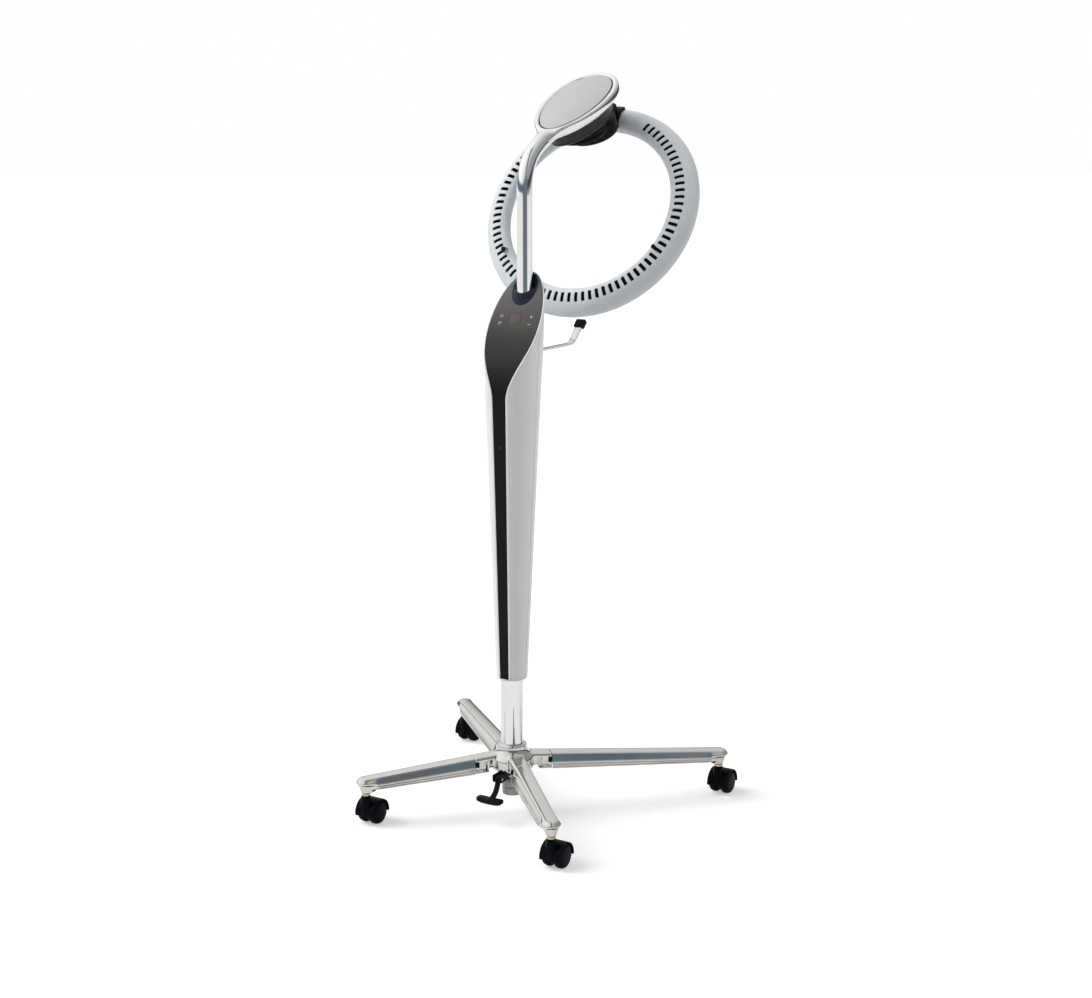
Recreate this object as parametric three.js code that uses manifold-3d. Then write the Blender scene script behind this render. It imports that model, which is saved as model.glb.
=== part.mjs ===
// A hair colour processor on a rolling stand: a slotted heater ring turned by a drive head,
// on a column that slides on the pole of a four-legged base.
// Millimetres, +Z up, +X towards the client's head, -X towards the operator's panel.
import * as THREE from "three";
import { mergeGeometries, mergeVertices } from "three/addons/utils/BufferGeometryUtils.js";
import Module from "manifold-3d";

const wasm = await Module();
wasm.setup();

// Clearances
const FIT = 0.3; // gap between pieces that touch
const WELD = 1e-3; // points closer than this are one point
const FAR = 400; // reach of a cutting block past what it cuts

// Facets round a turned piece
const LARGE_STEPS = 24;
const MEDIUM_STEPS = 16;
const SMALL_STEPS = 10;
const EGG_STEPS = 32;
const CASING_STEPS = 32;

// Base: hub, legs and pole
const HUB_RADIUS = 46;
const HUB_BOTTOM = 104;
const HUB_SHOULDER = 134; // top of the round body
const HUB_TOP = 160; // top of the collar round the pole
const HUB_FLOOR = 6;
const COLLAR_WALL = 7;
const LEG_HALF_ANGLE = 46; // degrees from the X axis
const LONG_LEG = 465; // pole axis to caster stem, client side
const SHORT_LEG = 316; // pole axis to caster stem, operator side
const LEG_ROOT = 84; // pole axis to the start of the leg sleeve
const LEG_ROOT_TOP = 135;
const LEG_ROOT_HEIGHT = 28;
const LEG_ROOT_WIDTH = 38;
const LEG_TIP_TOP = 107;
const LEG_TIP_HEIGHT = 24;
const LEG_TIP_WIDTH = 34;
const LEG_ROUND = 9; // radius along the top edges
const LEG_WALL = 3;
const STUB_REACH = 40; // how far the hub's stub goes into the leg
const TIP_CONE_DROP = 9; // cone under the leg's tip
const TIP_CONE_RADIUS = 10;
const TIP_BLOCK = 24; // solid length of the leg's tip
const POLE_RADIUS = 24;
const POLE_WALL = 2.5;
const POLE_TOP = 655;
const BOSS_RADIUS = 22;
const BOSS_BOTTOM = 46;
const BOSS_FLOOR = 5;

// Casters
const WHEEL_RADIUS = 25;
const WHEEL_WIDTH = 17;
const WHEEL_DISH = 3; // depth of the dished side
const WEB_THICKNESS = 12;
const CASTER_TRAIL = 21; // stem axis to axle
const AXLE_RADIUS = 4;
const STEM_RADIUS = 5;
const STEM_TOP = 99;
const STEM_COLLAR_RADIUS = 9;
const STEM_COLLAR_HEIGHT = 7;
const HOOD_WALL = 3;
const HOOD_GAP = 2; // hood to wheel tread
const HOOD_TOP = 66;
const HOOD_BOSS_RADIUS = 11;

// Foot lever
const PEDAL_PIVOT_X = -56;
const PEDAL_PIVOT_Z = 95;
const PEDAL_PIN_RADIUS = 3;
const PEDAL_EYE_RADIUS = 8;
const PEDAL_ARM_WIDTH = 10;
const PEDAL_ARM_THICK = 9;
const PEDAL_PAD_X = -90;
const PEDAL_PAD_Z = 58;
const PEDAL_PAD_LENGTH = 20;
const PEDAL_PAD_WIDTH = 62;
const PEDAL_PAD_THICK = 11;
const BRACKET_CHEEK = 5;

// Gas spring inside the pole
const GAS_RADIUS = 14;
const GAS_TOP = 420;
const GAS_BORE_BOTTOM = 130;
const ROD_RADIUS = 5;
const ROD_BOTTOM = 262;

// Column casing: sections at four heights, each an ellipse
const CASING_BOTTOM = 308;
const CASING_TOP = 1156;
const CASING_WALL = 2.5;
const FOOT_RADIUS = 33; // section at the bottom
const WAIST_Z = 927;
const WAIST_CENTRE = 8;
const WAIST_DEPTH = 58.5; // half along X
const WAIST_WIDTH = 58; // half along Y
const SHOULDER_Z = CASING_TOP - 146;
const SHOULDER_CENTRE = 11;
const SHOULDER_DEPTH = 64;
const SHOULDER_WIDTH = 61.5;
const CROWN_CENTRE = 13;
const CROWN_DEPTH = 65;
const CROWN_WIDTH = 61.5;
const BOTTOM_CAP = 3;

// Front face of the casing: a flat strip that bends back into the slanted panel
const FACE_BOTTOM_X = -30.2;
const FACE_LEAN = 0.0277; // forward per millimetre of height
const PANEL_SLOPE = 58; // degrees from level
const PANEL_Z_AT_MAST = CASING_TOP - 33.6;
const PANEL_BEND = 52; // from the corner to where the bend starts
const PANEL_THICK = 1.5;
const PANEL_BORDER = 3; // pale edge of the casing round the panel
const DECK_THICK = 1.6; // casing wall under the panel
const COVER_RIM = 14; // casing edge left above the rear cover

// Panel furniture
const DISPLAY_Z = CASING_TOP - 93;
const DISPLAY_WIDTH = 29;
const DISPLAY_HEIGHT = 18;
const DISPLAY_THICK = 0.8;
const BOARD_THICK = 1.6;
const BOARD_STANDOFF = 4;
const BOARD_WIDTH = 60;
const BOARD_Z = CASING_TOP - 141;
const BOARD_HEIGHT = 46;
const STANDOFF_SIZE = 6;
const BEZEL_DEPTH = 20; // half along X
const BEZEL_WIDTH = 28; // half along Y
const BEZEL_PROUD = 1.5;
const BEZEL_THICK = 13;
const BOOT_TILT = 25; // degrees from level of the rim round the mast
const BOOT_RISE = 0.5; // its middle, from the panel's plane
const BOOT_WALL = 1.5;
const INLET_Z = 640;
const INLET_WIDTH = 30;
const INLET_HEIGHT = 24;
const INLET_DEEP = 3.5; // into the casing
const INLET_PROUD = 16;
const INLET_MOUTH = 4; // wall round the socket's mouth

// Inside the column
const SLEEVE_TOP = 802;
const SLEEVE_CAP = 6;
const CLAMP_BOTTOM = CASING_TOP - 128;
const CLAMP_HEIGHT = 34;
const CLAMP_WIDTH = 48;
const CLAMP_WALL = 3; // clamp between the spine and the mast
const SPINE_BOTTOM = 640;
const SPINE_TOP = CLAMP_BOTTOM + CLAMP_HEIGHT;
const SPINE_WIDTH = 30;

// Mast and ring rest
const MAST_X = 56;
const MAST_RADIUS = 16.5;
const MAST_WALL = 2;
const MAST_BOTTOM = CLAMP_BOTTOM;
const MAST_BEND_START = 1306;
const MAST_BEND_PULL = 60; // how long the bend keeps each end's direction
const REST_Z = 991; // top of the level bar
const REST_THICK = 4;
const REST_WIDTH = 16;
const REST_REACH = 246; // where the bar bends up
const REST_ANGLE = 44;
const REST_RISE = 62; // length of the sloping part
const REST_TAB = 30;
const TIP_LENGTH = 20;
const TIP_WALL = 3.5;
const TIP_OVERLAP = 16;

// Drive head, in its own tilted frame: x along the arm, z out of the cover
const HEAD_X = 262;
const HEAD_Z = 1492;
const HEAD_TILT = 28; // degrees
const FRAME_LENGTH = 132; // half along x
const FRAME_WIDTH = 77; // half along y
const FRAME_BAND = 13;
const FRAME_HEIGHT = 20;
const FRAME_ROUND = 6;
const EGG = 0.12; // widening towards the far end
const NECK_REACH = 26;
const NECK_WALL = 2.5;
const NECK_SOCKET = 14;
const NECK_WIDEN = 4; // half width gained where the neck meets the frame
const NECK_FLATTEN = 5; // half height lost there
const NECK_SPREAD = 14; // half width gained at its inner end
const NECK_INSIDE = 6; // how far it runs past the band
const COVER_EDGE = 3;
const COVER_CROWN = 9;
const COVER_WALL = 2;
const HOUSING_DEPTH = 44;
const HOUSING_LENGTH = 98; // half at its floor
const HOUSING_WIDTH = 58;
const HOUSING_WALL = 3;
const MOTOR_RADIUS = 30;
const MOTOR_HEIGHT = 24;
const SHAFT_RADIUS = 8;
const SHAFT_TOP = -30;
const BEARING_RADIUS = 18;
const BEARING_FLANGE = 4;
const ROTOR_RADIUS = 54;
const ROTOR_HEIGHT = 15;

// Heater ring, in its own frame: x towards its top, z towards the operator
const RING_TURN = 5.4; // degrees it stands turned about the head's axis
const RING_X = 318; // its middle before that turn
const RING_Z = 1270;
const RING_LEAN = 29; // degrees its face looks up
const RING_RADIUS = 217;
const BAND_HALF_WIDTH = 31;
const BAND_HALF_THICK = 21;
const BAND_SLANT = 26; // degrees between the band's width and the ring's radius
const BAND_WALL = 2.5;
const BACK_WRAP = 12; // degrees that the back shell wraps past the band's edges
const RING_STEPS = 84;
const BAND_STEPS = 20; // facets round the band
const SLOT_COUNT = 71;
const SLOT_WIDTH = 6.5;
const SLOT_LENGTH = 20;
const SLOT_OFFSET = -12.7; // slot's middle, from the band's middle towards the inner edge
const WINDOW_COUNT = 12;
const WINDOW_LENGTH = 80; // along the ring
const WINDOW_WIDTH = 36; // across the band
const REFLECTOR_DROP = 7; // cavity behind the slots
const REFLECTOR_WALL = 1;
const HEATER_RADIUS = 4;
const ARM_HALF_WIDTH = 30;
const ARM_PLATE = 7;
const ARM_WALL = 5;
const ARM_START = 20; // from the head's axis
const SADDLE_HALF_WIDTH = 44; // along the ring
const SADDLE_WALL = 6;
const SADDLE_REACH = 20; // past the band's middle
const STUD_ANGLE = 120; // degrees from the ring's top
const STUD_OFFSET = -25;
const STUD_RADIUS = 3.6;
const STUD_HEIGHT = 8;

const rad = THREE.MathUtils.degToRad;
const lerp = THREE.MathUtils.lerp;

// Materials
const chrome = new THREE.MeshStandardMaterial({ color: 0xd9dcdd, roughness: 0.12, metalness: 1 });
const steel = new THREE.MeshStandardMaterial({ color: 0x9a9ea2, roughness: 0.35, metalness: 1 });
const brass = new THREE.MeshStandardMaterial({ color: 0xc2ad76, roughness: 0.3, metalness: 1 });
const satin = new THREE.MeshStandardMaterial({ color: 0xc9cacb, roughness: 0.45, metalness: 0.6 });
const blackPlastic = new THREE.MeshStandardMaterial({ color: 0x16181c, roughness: 0.5 });
const darkPlastic = new THREE.MeshStandardMaterial({ color: 0x3c3d3b, roughness: 0.45 });
const glossBlack = new THREE.MeshStandardMaterial({ color: 0x242424, roughness: 0.12 });
const blueBlack = new THREE.MeshStandardMaterial({ color: 0x1b2433, roughness: 0.35 });
const palePlastic = new THREE.MeshStandardMaterial({ color: 0xcfcfd0, roughness: 0.4 });
const ringPlastic = new THREE.MeshStandardMaterial({ color: 0xcfd6da, roughness: 0.35 });
const displayRed = new THREE.MeshStandardMaterial({ color: 0x4a2d2b, roughness: 0.15 });
const boardGreen = new THREE.MeshStandardMaterial({ color: 0x2c5b3c, roughness: 0.6 });
const rubber = new THREE.MeshStandardMaterial({ color: 0x0f0f10, roughness: 0.8 });
const quartz = new THREE.MeshStandardMaterial({ color: 0xb8a9a0, roughness: 0.3 });

// Solids and meshes

// The solid that a closed three.js geometry bounds.
function solid(geometry) {
  const flat = geometry.index ? geometry.toNonIndexed() : geometry;
  const plain = new THREE.BufferGeometry();
  plain.setAttribute("position", flat.getAttribute("position"));
  const merged = mergeVertices(plain, WELD);
  const corners = merged.index.array;
  const triVerts = [];
  for (let i = 0; i < corners.length; i += 3) {
    const [a, b, c] = [corners[i], corners[i + 1], corners[i + 2]];
    if (a !== b && b !== c && c !== a) triVerts.push(a, b, c);
  }
  return new wasm.Manifold(
    new wasm.Mesh({
      numProp: 3,
      vertProperties: merged.getAttribute("position").array,
      triVerts: new Uint32Array(triVerts),
    }),
  );
}

// A named mesh from a solid or a closed geometry.
function piece(name, shape, material) {
  const made = shape.isBufferGeometry ? solid(shape) : shape;
  const { vertProperties, triVerts } = made.getMesh();
  const geometry = new THREE.BufferGeometry();
  geometry.setAttribute("position", new THREE.BufferAttribute(vertProperties, 3));
  geometry.setIndex(new THREE.BufferAttribute(triVerts, 1));
  geometry.computeVertexNormals();
  const mesh = new THREE.Mesh(geometry, material);
  mesh.name = name;
  return mesh;
}

// A box between two corners.
function block([x0, y0, z0], [x1, y1, z1]) {
  const box = new THREE.BoxGeometry(x1 - x0, y1 - y0, z1 - z0);
  return box.translate((x0 + x1) / 2, (y0 + y1) / 2, (z0 + z1) / 2);
}

// A body turned round the Z axis from a closed profile of [radius, z] points, listed from its bottom
// along its outside to its top.
function turned(profile, steps = LARGE_STEPS) {
  const points = profile.map(([r, z]) => new THREE.Vector2(r, z));
  points.push(points[0].clone());
  return new THREE.LatheGeometry(points, steps).rotateX(Math.PI / 2);
}

function disc(radius, z0, z1, steps = LARGE_STEPS) {
  return turned([[0, z0], [radius, z0], [radius, z1], [0, z1]], steps);
}

// Extrusions of flat outlines along each axis.
function extruded(outline, depth) {
  const shape = new THREE.Shape(outline.map(([a, b]) => new THREE.Vector2(a, b)));
  return new THREE.ExtrudeGeometry(shape, { depth, bevelEnabled: false });
}

// An outline of [x, z] points, from y0 to y1.
function alongY(outline, y0, y1) {
  return extruded(outline, y1 - y0).rotateX(Math.PI / 2).translate(0, y1, 0);
}

// An outline of [y, z] points, from x0 to x1.
function alongX(outline, x0, x1) {
  const turn = new THREE.Matrix4().makeBasis(
    new THREE.Vector3(0, 1, 0),
    new THREE.Vector3(0, 0, 1),
    new THREE.Vector3(1, 0, 0),
  );
  return extruded(outline, x1 - x0).applyMatrix4(turn).translate(x0, 0, 0);
}

// A skin through rings of points, with flat ends. Rings run anticlockwise seen from the last ring.
function loft(rings) {
  const size = rings[0].length;
  const corners = rings.flat().flatMap((p) => [p.x, p.y, p.z]);
  const faces = [];
  for (let i = 0; i + 1 < rings.length; i++) {
    for (let j = 0; j < size; j++) {
      const a = i * size + j;
      const b = i * size + ((j + 1) % size);
      faces.push(a, b, b + size, a, b + size, a + size);
    }
  }
  const last = (rings.length - 1) * size;
  for (let j = 1; j + 1 < size; j++) {
    faces.push(0, j + 1, j, last, last + j, last + j + 1);
  }
  const geometry = new THREE.BufferGeometry();
  geometry.setAttribute("position", new THREE.Float32BufferAttribute(corners, 3));
  geometry.setIndex(faces);
  return geometry;
}

function ellipseRing(centre, a, b, z, steps) {
  return Array.from({ length: steps }, (_, i) => {
    const t = (i / steps) * 2 * Math.PI;
    return new THREE.Vector3(centre + a * Math.cos(t), b * Math.sin(t), z);
  });
}

function union(first, ...others) {
  return others.reduce((sum, other) => sum.add(other), first);
}

// Base

// Section of a leg at radius r from the pole, drawn in by inset. A channel is left open below.
function legSection(r, length, inset, open) {
  const t = (r - LEG_ROOT) / (length - LEG_ROOT);
  const top = lerp(LEG_ROOT_TOP, LEG_TIP_TOP, t) - inset;
  const height = lerp(LEG_ROOT_HEIGHT, LEG_TIP_HEIGHT, t);
  const half = lerp(LEG_ROOT_WIDTH, LEG_TIP_WIDTH, t) / 2 - inset;
  const bottom = open ? HUB_BOTTOM - FAR : top + inset - height + inset;
  const round = Math.max(LEG_ROUND - inset, 1);
  const outline = [[-half, bottom], [half, bottom]];
  for (let i = 0; i <= 3; i++) {
    const a = rad(30 * i);
    outline.push([half - round + round * Math.cos(a), top - round + round * Math.sin(a)]);
  }
  for (let i = 0; i <= 3; i++) {
    const a = rad(90 + 30 * i);
    outline.push([round - half + round * Math.cos(a), top - round + round * Math.sin(a)]);
  }
  return outline.map(([y, z]) => new THREE.Vector3(r, y, z));
}

const legAngles = {
  leg_front_left: { angle: LEG_HALF_ANGLE, length: LONG_LEG },
  leg_front_right: { angle: -LEG_HALF_ANGLE, length: LONG_LEG },
  leg_rear_left: { angle: 180 - LEG_HALF_ANGLE, length: SHORT_LEG },
  leg_rear_right: { angle: 180 + LEG_HALF_ANGLE, length: SHORT_LEG },
};

function legSolid(length) {
  const tipBottom = LEG_TIP_TOP - LEG_TIP_HEIGHT;
  const tipRadius = LEG_TIP_WIDTH / 2;
  const outside = solid(
    loft([legSection(LEG_ROOT, length, 0, false), legSection(length, length, 0, false)]),
  );
  const channel = solid(
    loft([
      legSection(LEG_ROOT - 1, length, LEG_WALL, true),
      legSection(length - TIP_BLOCK, length, LEG_WALL, true),
    ]),
  );
  const tip = turned([
    [0, tipBottom - TIP_CONE_DROP],
    [TIP_CONE_RADIUS, tipBottom - TIP_CONE_DROP],
    [tipRadius - 2, tipBottom],
    [tipRadius, tipBottom + 2],
    [tipRadius, LEG_TIP_TOP - LEG_ROUND],
    [tipRadius - LEG_ROUND * 0.3, LEG_TIP_TOP - LEG_ROUND * 0.3],
    [tipRadius - LEG_ROUND, LEG_TIP_TOP],
    [0, LEG_TIP_TOP],
  ], MEDIUM_STEPS);
  const socket = disc(STEM_RADIUS + FIT, HUB_BOTTOM - FAR, STEM_TOP + FIT, SMALL_STEPS);
  return union(outside.subtract(channel), solid(tip.translate(length, 0, 0))).subtract(
    solid(socket.translate(length, 0, 0)),
  );
}

function hubSolid() {
  const collar = POLE_RADIUS + FIT + COLLAR_WALL;
  const body = solid(
    turned([
      [0, HUB_BOTTOM],
      [HUB_RADIUS - 3, HUB_BOTTOM],
      [HUB_RADIUS, HUB_BOTTOM + 3],
      [HUB_RADIUS, HUB_SHOULDER - 8],
      [HUB_RADIUS - 5, HUB_SHOULDER],
      [collar + 3, HUB_SHOULDER + 5],
      [collar, HUB_SHOULDER + 10],
      [collar, HUB_TOP - 2],
      [collar - 2, HUB_TOP],
      [0, HUB_TOP],
    ]),
  );
  const stubs = Object.values(legAngles).map(({ angle, length }) => {
    const inset = LEG_WALL + FIT;
    const rings = [POLE_RADIUS, LEG_ROOT + STUB_REACH].map((r) =>
      legSection(r, length, inset, false),
    );
    return solid(loft(rings).rotateZ(rad(angle)));
  });
  const bore = disc(POLE_RADIUS + FIT, HUB_BOTTOM + HUB_FLOOR, HUB_TOP + 1);
  const springHole = disc(GAS_RADIUS + FIT, HUB_BOTTOM - 1, HUB_TOP, MEDIUM_STEPS);
  return union(body, ...stubs).subtract(solid(bore)).subtract(solid(springHole));
}

function poleGeometry() {
  const inner = POLE_RADIUS - POLE_WALL;
  const bottom = HUB_BOTTOM + HUB_FLOOR + FIT;
  return turned([
    [inner, bottom],
    [POLE_RADIUS, bottom],
    [POLE_RADIUS, POLE_TOP],
    [inner, POLE_TOP],
  ]);
}

function bossGeometry() {
  const inner = GAS_RADIUS + FIT;
  return turned([
    [0, BOSS_BOTTOM],
    [BOSS_RADIUS - 2, BOSS_BOTTOM],
    [BOSS_RADIUS, BOSS_BOTTOM + 2],
    [BOSS_RADIUS, HUB_BOTTOM - FIT],
    [inner, HUB_BOTTOM - FIT],
    [inner, BOSS_BOTTOM + BOSS_FLOOR],
    [0, BOSS_BOTTOM + BOSS_FLOOR],
  ], MEDIUM_STEPS);
}

function gasCylinderGeometry() {
  const bore = ROD_RADIUS + FIT;
  const bottom = BOSS_BOTTOM + BOSS_FLOOR + FIT;
  return turned([
    [0, bottom],
    [GAS_RADIUS, bottom],
    [GAS_RADIUS, GAS_TOP],
    [bore, GAS_TOP],
    [bore, GAS_BORE_BOTTOM],
    [0, GAS_BORE_BOTTOM],
  ], MEDIUM_STEPS);
}

// Foot lever: a forked bracket under the hub, a pin and a lever with a wide pad
function pedalBracket() {
  const inner = PEDAL_ARM_WIDTH / 2 + FIT;
  const outer = inner + BRACKET_CHEEK;
  const reach = PEDAL_PIVOT_X - PEDAL_EYE_RADIUS;
  const root = -BOSS_RADIUS - FIT - 2;
  const bottom = PEDAL_PIVOT_Z - PEDAL_EYE_RADIUS;
  const top = HUB_BOTTOM - FIT;
  const body = solid(block([reach, -outer, bottom], [root, outer, top]));
  const mouth = solid(
    block([reach - 1, -inner, bottom - 1], [PEDAL_PIVOT_X + PEDAL_EYE_RADIUS + 2, inner, top + 1]),
  );
  const hole = disc(PEDAL_PIN_RADIUS + FIT, -outer - 1, outer + 1, SMALL_STEPS)
    .rotateX(Math.PI / 2)
    .translate(PEDAL_PIVOT_X, 0, PEDAL_PIVOT_Z);
  return body.subtract(mouth).subtract(solid(hole));
}

function pedalPin() {
  const half = PEDAL_ARM_WIDTH / 2 + FIT + BRACKET_CHEEK;
  return disc(PEDAL_PIN_RADIUS, -half, half, SMALL_STEPS)
    .rotateX(Math.PI / 2)
    .translate(PEDAL_PIVOT_X, 0, PEDAL_PIVOT_Z);
}

function pedalLever() {
  const half = PEDAL_ARM_WIDTH / 2;
  const eye = disc(PEDAL_EYE_RADIUS - 1, -half, half, MEDIUM_STEPS)
    .rotateX(Math.PI / 2)
    .translate(PEDAL_PIVOT_X, 0, PEDAL_PIVOT_Z);
  const hole = disc(PEDAL_PIN_RADIUS + FIT, -half - 1, half + 1, SMALL_STEPS)
    .rotateX(Math.PI / 2)
    .translate(PEDAL_PIVOT_X, 0, PEDAL_PIVOT_Z);
  const route = new THREE.QuadraticBezierCurve(
    new THREE.Vector2(PEDAL_PIVOT_X, PEDAL_PIVOT_Z),
    new THREE.Vector2(PEDAL_PIVOT_X - PEDAL_EYE_RADIUS, PEDAL_PAD_Z),
    new THREE.Vector2(PEDAL_PAD_X, PEDAL_PAD_Z),
  );
  const line = route.getPoints(8);
  const left = [];
  const right = [];
  line.forEach((p, i) => {
    const tangent = route.getTangent(i / (line.length - 1));
    const side = new THREE.Vector2(-tangent.y, tangent.x).multiplyScalar(PEDAL_ARM_THICK / 2);
    left.push([p.x + side.x, p.y + side.y]);
    right.unshift([p.x - side.x, p.y - side.y]);
  });
  const arm = alongY([...left, ...right], -half, half);
  const pad = new THREE.Shape();
  const px = PEDAL_PAD_LENGTH / 2;
  const py = PEDAL_PAD_WIDTH / 2;
  const round = PEDAL_PAD_LENGTH * 0.3;
  pad.moveTo(round - px, -py);
  pad.lineTo(px - round, -py);
  pad.quadraticCurveTo(px, -py, px, round - py);
  pad.lineTo(px, py - round);
  pad.quadraticCurveTo(px, py, px - round, py);
  pad.lineTo(round - px, py);
  pad.quadraticCurveTo(-px, py, -px, py - round);
  pad.lineTo(-px, round - py);
  pad.quadraticCurveTo(-px, -py, round - px, -py);
  const plate = new THREE.ExtrudeGeometry(pad, {
    depth: PEDAL_PAD_THICK,
    bevelEnabled: false,
    curveSegments: 4,
  });
  plate.translate(PEDAL_PAD_X, 0, PEDAL_PAD_Z - PEDAL_PAD_THICK / 2);
  return union(solid(eye), solid(arm), solid(plate)).subtract(solid(hole));
}

// One caster: stem, hood, axle and twin wheels, with the stem axis on Z and the axle behind it
function casterGroup(place) {
  const group = new THREE.Group();
  const web = WEB_THICKNESS / 2;
  const outer = web + FIT + WHEEL_WIDTH;
  const axleZ = WHEEL_RADIUS;
  const tipFace = LEG_TIP_TOP - LEG_TIP_HEIGHT - TIP_CONE_DROP;
  const collarTop = tipFace - FIT;
  const collarBottom = collarTop - STEM_COLLAR_HEIGHT;
  const stemBottom = HOOD_TOP - (HOOD_TOP - axleZ - AXLE_RADIUS) * 0.6;
  const stem = turned([
    [0, stemBottom],
    [STEM_RADIUS, stemBottom],
    [STEM_RADIUS, collarBottom],
    [STEM_COLLAR_RADIUS, collarBottom],
    [STEM_COLLAR_RADIUS, collarTop],
    [STEM_RADIUS, collarTop],
    [STEM_RADIUS, STEM_TOP],
    [0, STEM_TOP],
  ], SMALL_STEPS);
  group.add(piece("caster_stem_" + place, stem, brass));

  const hoodInner = WHEEL_RADIUS + HOOD_GAP;
  const hoodOuter = hoodInner + HOOD_WALL;
  const arc = [];
  for (let i = 0; i <= 8; i++) arc.push(rad(lerp(-8, 188, i / 8)));
  const shellOutline = [
    ...arc.map((a) => [hoodOuter * Math.cos(a), hoodOuter * Math.sin(a)]),
    ...arc.reverse().map((a) => [hoodInner * Math.cos(a), hoodInner * Math.sin(a)]),
  ].map(([x, z]) => [x + CASTER_TRAIL, z + axleZ]);
  const shell = solid(alongY(shellOutline, -outer, outer));
  const webDisc = disc(WHEEL_RADIUS * 0.8, -web, web, MEDIUM_STEPS)
    .rotateX(Math.PI / 2)
    .translate(CASTER_TRAIL, 0, axleZ);
  const webBlock = block(
    [-HOOD_BOSS_RADIUS, -web, axleZ],
    [CASTER_TRAIL, web, axleZ + hoodInner - HOOD_GAP],
  );
  const boss = disc(HOOD_BOSS_RADIUS, axleZ, collarBottom - FIT, SMALL_STEPS);
  const wheelSpace = disc(WHEEL_RADIUS + HOOD_GAP, -1, WHEEL_WIDTH + 1, MEDIUM_STEPS);
  const stemHole = disc(STEM_RADIUS + FIT, stemBottom - FIT, FAR, SMALL_STEPS);
  const axleHole = disc(AXLE_RADIUS + FIT, -FAR, FAR, SMALL_STEPS)
    .rotateX(Math.PI / 2)
    .translate(CASTER_TRAIL, 0, axleZ);
  let hood = union(shell, solid(webDisc), solid(webBlock), solid(boss));
  for (const side of [-1, 1]) {
    const space = wheelSpace
      .clone()
      .rotateX(Math.PI / 2)
      .translate(CASTER_TRAIL, side > 0 ? web + WHEEL_WIDTH + 1 : -web - 1, axleZ);
    hood = hood.subtract(solid(space));
  }
  hood = hood.subtract(solid(stemHole)).subtract(solid(axleHole));
  group.add(piece("caster_hood_" + place, hood, blackPlastic));

  const axle = disc(AXLE_RADIUS, -outer, outer, SMALL_STEPS)
    .rotateX(Math.PI / 2)
    .translate(CASTER_TRAIL, 0, axleZ);
  group.add(piece("caster_axle_" + place, axle, steel));

  const wheelBore = AXLE_RADIUS + FIT;
  for (const [name, side] of [["left", 1], ["right", -1]]) {
    const wheel = turned([
      [wheelBore, 0],
      [WHEEL_RADIUS - 2, 0],
      [WHEEL_RADIUS, 2],
      [WHEEL_RADIUS, WHEEL_WIDTH - 4],
      [WHEEL_RADIUS - 4, WHEEL_WIDTH],
      [WHEEL_RADIUS * 0.65, WHEEL_WIDTH],
      [WHEEL_RADIUS * 0.55, WHEEL_WIDTH - WHEEL_DISH],
      [wheelBore, WHEEL_WIDTH - WHEEL_DISH],
    ], MEDIUM_STEPS);
    wheel.rotateX(side > 0 ? -Math.PI / 2 : Math.PI / 2);
    wheel.translate(CASTER_TRAIL, side * (web + FIT), axleZ);
    group.add(piece("caster_wheel_" + place + "_" + name, wheel, blackPlastic));
  }
  return group;
}

// Column casing

const stations = [
  { z: CASING_BOTTOM, centre: 0, a: FOOT_RADIUS, b: FOOT_RADIUS },
  { z: WAIST_Z, centre: WAIST_CENTRE, a: WAIST_DEPTH, b: WAIST_WIDTH },
  { z: SHOULDER_Z, centre: SHOULDER_CENTRE, a: SHOULDER_DEPTH, b: SHOULDER_WIDTH },
  { z: CASING_TOP, centre: CROWN_CENTRE, a: CROWN_DEPTH, b: CROWN_WIDTH },
];

// Section of the casing at any height.
function casingAt(z) {
  let i = 1;
  while (i < stations.length - 1 && z > stations[i].z) i++;
  const low = stations[i - 1];
  const high = stations[i];
  const t = (z - low.z) / (high.z - low.z);
  return {
    centre: lerp(low.centre, high.centre, t),
    a: lerp(low.a, high.a, t),
    b: lerp(low.b, high.b, t),
  };
}

function casingLoft(inset, steps = CASING_STEPS) {
  return loft(
    stations.map(({ z, centre, a, b }) => ellipseRing(centre, a - inset, b - inset, z, steps)),
  );
}

const slope = new THREE.Vector2(Math.cos(rad(PANEL_SLOPE)), Math.sin(rad(PANEL_SLOPE)));
const lean = new THREE.Vector2(-FACE_LEAN, 1).normalize();

// Line of the front face, from below the casing's foot to past its top, pushed into the casing.
function faceLine(inset) {
  const foot = new THREE.Vector2(FACE_BOTTOM_X, CASING_BOTTOM);
  const mast = new THREE.Vector2(MAST_X, PANEL_Z_AT_MAST);
  const across = foot.clone().sub(mast);
  const back = across.cross(lean) / slope.cross(lean);
  const corner = mast.clone().addScaledVector(slope, back);
  const start = corner.clone().addScaledVector(lean, -PANEL_BEND);
  const end = corner.clone().addScaledVector(slope, PANEL_BEND);
  const path = new THREE.Path();
  const below = foot.clone().addScaledVector(lean, -PANEL_BEND);
  const above = mast.clone().addScaledVector(slope, CASING_TOP - PANEL_Z_AT_MAST + PANEL_BEND);
  path.moveTo(below.x, below.y);
  path.lineTo(start.x, start.y);
  path.quadraticCurveTo(corner.x, corner.y, end.x, end.y);
  path.lineTo(above.x, above.y);
  const points = path.getPoints(10);
  return points.map((p, i) => {
    const before = points[Math.max(i - 1, 0)];
    const after = points[Math.min(i + 1, points.length - 1)];
    const along = after.clone().sub(before).normalize();
    return new THREE.Vector2(p.x + along.y * inset, p.y - along.x * inset);
  });
}

// Everything behind the front face, or behind a copy of it pushed in.
function behindFace(inset) {
  const line = faceLine(inset).map((p) => [p.x, p.y]);
  const last = line[line.length - 1];
  const outline = [...line, [FAR, last[1]], [FAR, line[0][1]]].reverse();
  return solid(alongY(outline, -FAR, FAR));
}

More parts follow.
